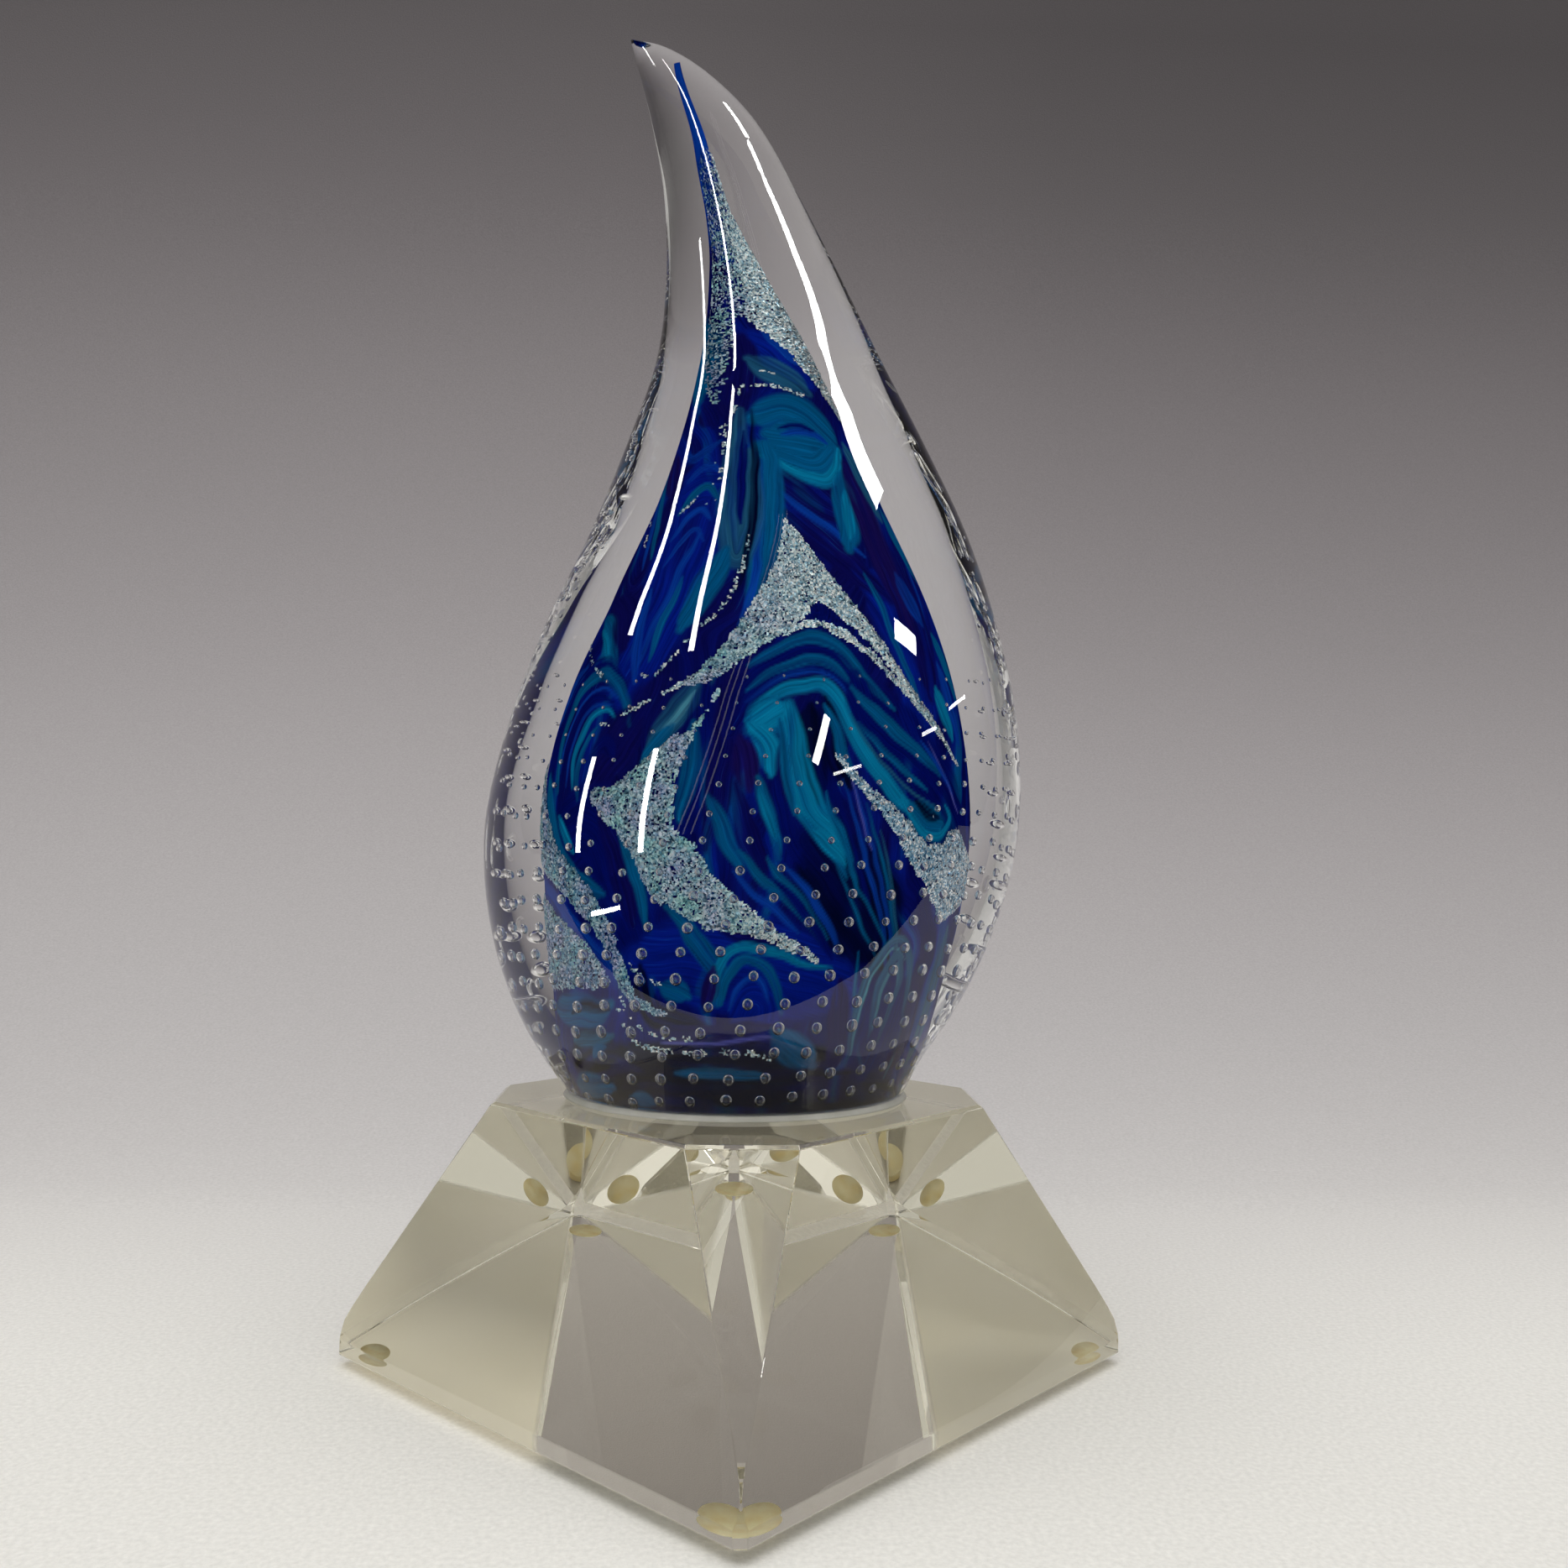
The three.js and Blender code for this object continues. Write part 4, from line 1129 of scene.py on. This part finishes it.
def sky_ramp(axis, *stops):
    """Grey along one axis of the direction, remapped from -1 to 1 into 0 to 1."""
    spread = sky.nodes.new("ShaderNodeMapRange")
    spread.inputs["From Min"].default_value = -1.0
    sky.links.new(parts.outputs[axis], spread.inputs["Value"])
    ramp = sky.nodes.new("ShaderNodeValToRGB")
    while len(ramp.color_ramp.elements) < len(stops):
        ramp.color_ramp.elements.new(0.5)
    for stop, (position, grey) in zip(ramp.color_ramp.elements, stops):
        stop.position = position
        stop.color = (grey, grey * 0.98, grey * 0.93, 1)
    sky.links.new(spread.outputs[0], ramp.inputs["Fac"])
    return ramp.outputs["Color"]


# Bright in front, dim at the sides, and a middling ceiling.
both = sky.nodes.new("ShaderNodeMix")
both.data_type = "RGBA"
sky.links.new(sky_ramp("Z", (0.6, 0.0), (0.8, 1.0)), both.inputs[0])
sky.links.new(
    sky_ramp("Y", (0.03, 0.9), (0.07, 0.5), (0.12, 0.26), (0.42, 0.28)), both.inputs[6]
)
both.inputs[7].default_value = (0.66, 0.65, 0.61, 1)
sky.links.new(both.outputs[2], glow.inputs["Color"])
world.cycles_visibility.glossy = False  # outer surfaces mirror only the strip lights and the cloth

ceiling = bpy.data.lights.new("ceiling", "AREA")
ceiling.shape = "DISK"
ceiling.size = 2.2
ceiling.energy = 22.5
ceiling_light = bpy.data.objects.new("ceiling", ceiling)
bpy.context.scene.collection.objects.link(ceiling_light)
ceiling_light.location = (0, -0.3, 1.6)
ceiling_light.visible_glossy = False
ceiling_light.visible_transmission = False
ceiling_light.visible_camera = False

LIGHT_REACH = 1.2


def strip(name, azimuth, low, high, width, strength, lean=0.0, inside=False):
    """An upright strip light between two heights in metres. Azimuth 0 is over the camera and 90
    is to the right, lean turns its top to the left, in degrees, and inside lets it be seen
    from inside the glass."""
    a = math.radians(azimuth)
    data = bpy.data.lights.new(name, "AREA")
    data.shape = "RECTANGLE"
    data.size = width
    data.size_y = high - low
    data.energy = strength * width * (high - low)
    light = bpy.data.objects.new(name, data)
    bpy.context.scene.collection.objects.link(light)
    facing = Vector((-math.sin(a), math.cos(a), 0))
    light.rotation_mode = "QUATERNION"
    light.rotation_quaternion = facing.to_track_quat("-Z", "Y") @ Quaternion(
        (0, 0, 1), math.radians(lean)
    )
    light.location = (
        LIGHT_REACH * math.sin(a), -LIGHT_REACH * math.cos(a), (low + high) / 2,
    )  # fmt: skip
    light.visible_diffuse = False
    light.visible_camera = False
    light.visible_transmission = inside


strip("left_outer_high", -75.5, 0.97, 1.62, 0.06, 90, 11)
strip("left_inner_high", -41.0, 0.98, 2.0, 0.06, 90, 9)
strip("left_outer_low", -70.4, 0.0, 0.52, 0.05, 90)
strip("left_inner_low", -42.4, -0.04, 0.56, 0.05, 90)
strip("right_high", 67.5, 1.42, 2.12, 0.24, 90, 13, inside=True)
strip("right_top", 70.0, 2.16, 3.2, 0.3, 90)
strip("right_small", 64.5, 0.8, 0.89, 0.24, 90, -30)
strip("front_right", 22.2, 0.39, 0.6, 0.06, 90, -24)
strip("tick_right", 87.6, 0.472, 0.487, 0.25, 60, 5)
strip("tick_middle", 69.5, 0.412, 0.427, 0.16, 60, 3)
strip("tick_front", 32.9, 0.337, 0.352, 0.23, 60, 4)
strip("low_left", -59.0, -0.345, -0.315, 0.3, 90)
for number, azimuth in enumerate((-9.5, -12.5, -15.0)):
    strip("faint_%d" % number, azimuth, 0.0, 1.85, 0.014, 3.5, -18.5)

# ---------------------------------------------------------------- the camera
camera_data = bpy.data.cameras.new("camera")
camera_data.lens = 31.35
camera_data.sensor_width = 36
camera_data.clip_start = 0.01
camera = bpy.data.objects.new("camera", camera_data)
bpy.context.scene.collection.objects.link(camera)
CAMERA_PLACE = Vector((-4.5, -254.0, 93.9)) * MM
yaw, pitch, roll = (math.radians(v) for v in (2.73, 2.74, 0.85))
ahead = Vector(
    (math.sin(yaw) * math.cos(pitch), math.cos(yaw) * math.cos(pitch), math.sin(pitch))
)
level = Vector((math.cos(yaw), -math.sin(yaw), 0))
upright = level.cross(ahead)
right = level * math.cos(roll) + upright * math.sin(roll)
up = upright * math.cos(roll) - level * math.sin(roll)
camera.matrix_world = Matrix.Translation(CAMERA_PLACE) @ Matrix(
    (right, up, -ahead)
).transposed().to_4x4()
bpy.context.scene.camera = camera
bpy.context.scene.view_settings.view_transform = "Standard"
bpy.context.scene.cycles.max_bounces = 40
bpy.context.scene.cycles.transmission_bounces = 32
bpy.context.scene.cycles.glossy_bounces = 32
bpy.context.scene.cycles.sample_clamp_indirect = 6.0
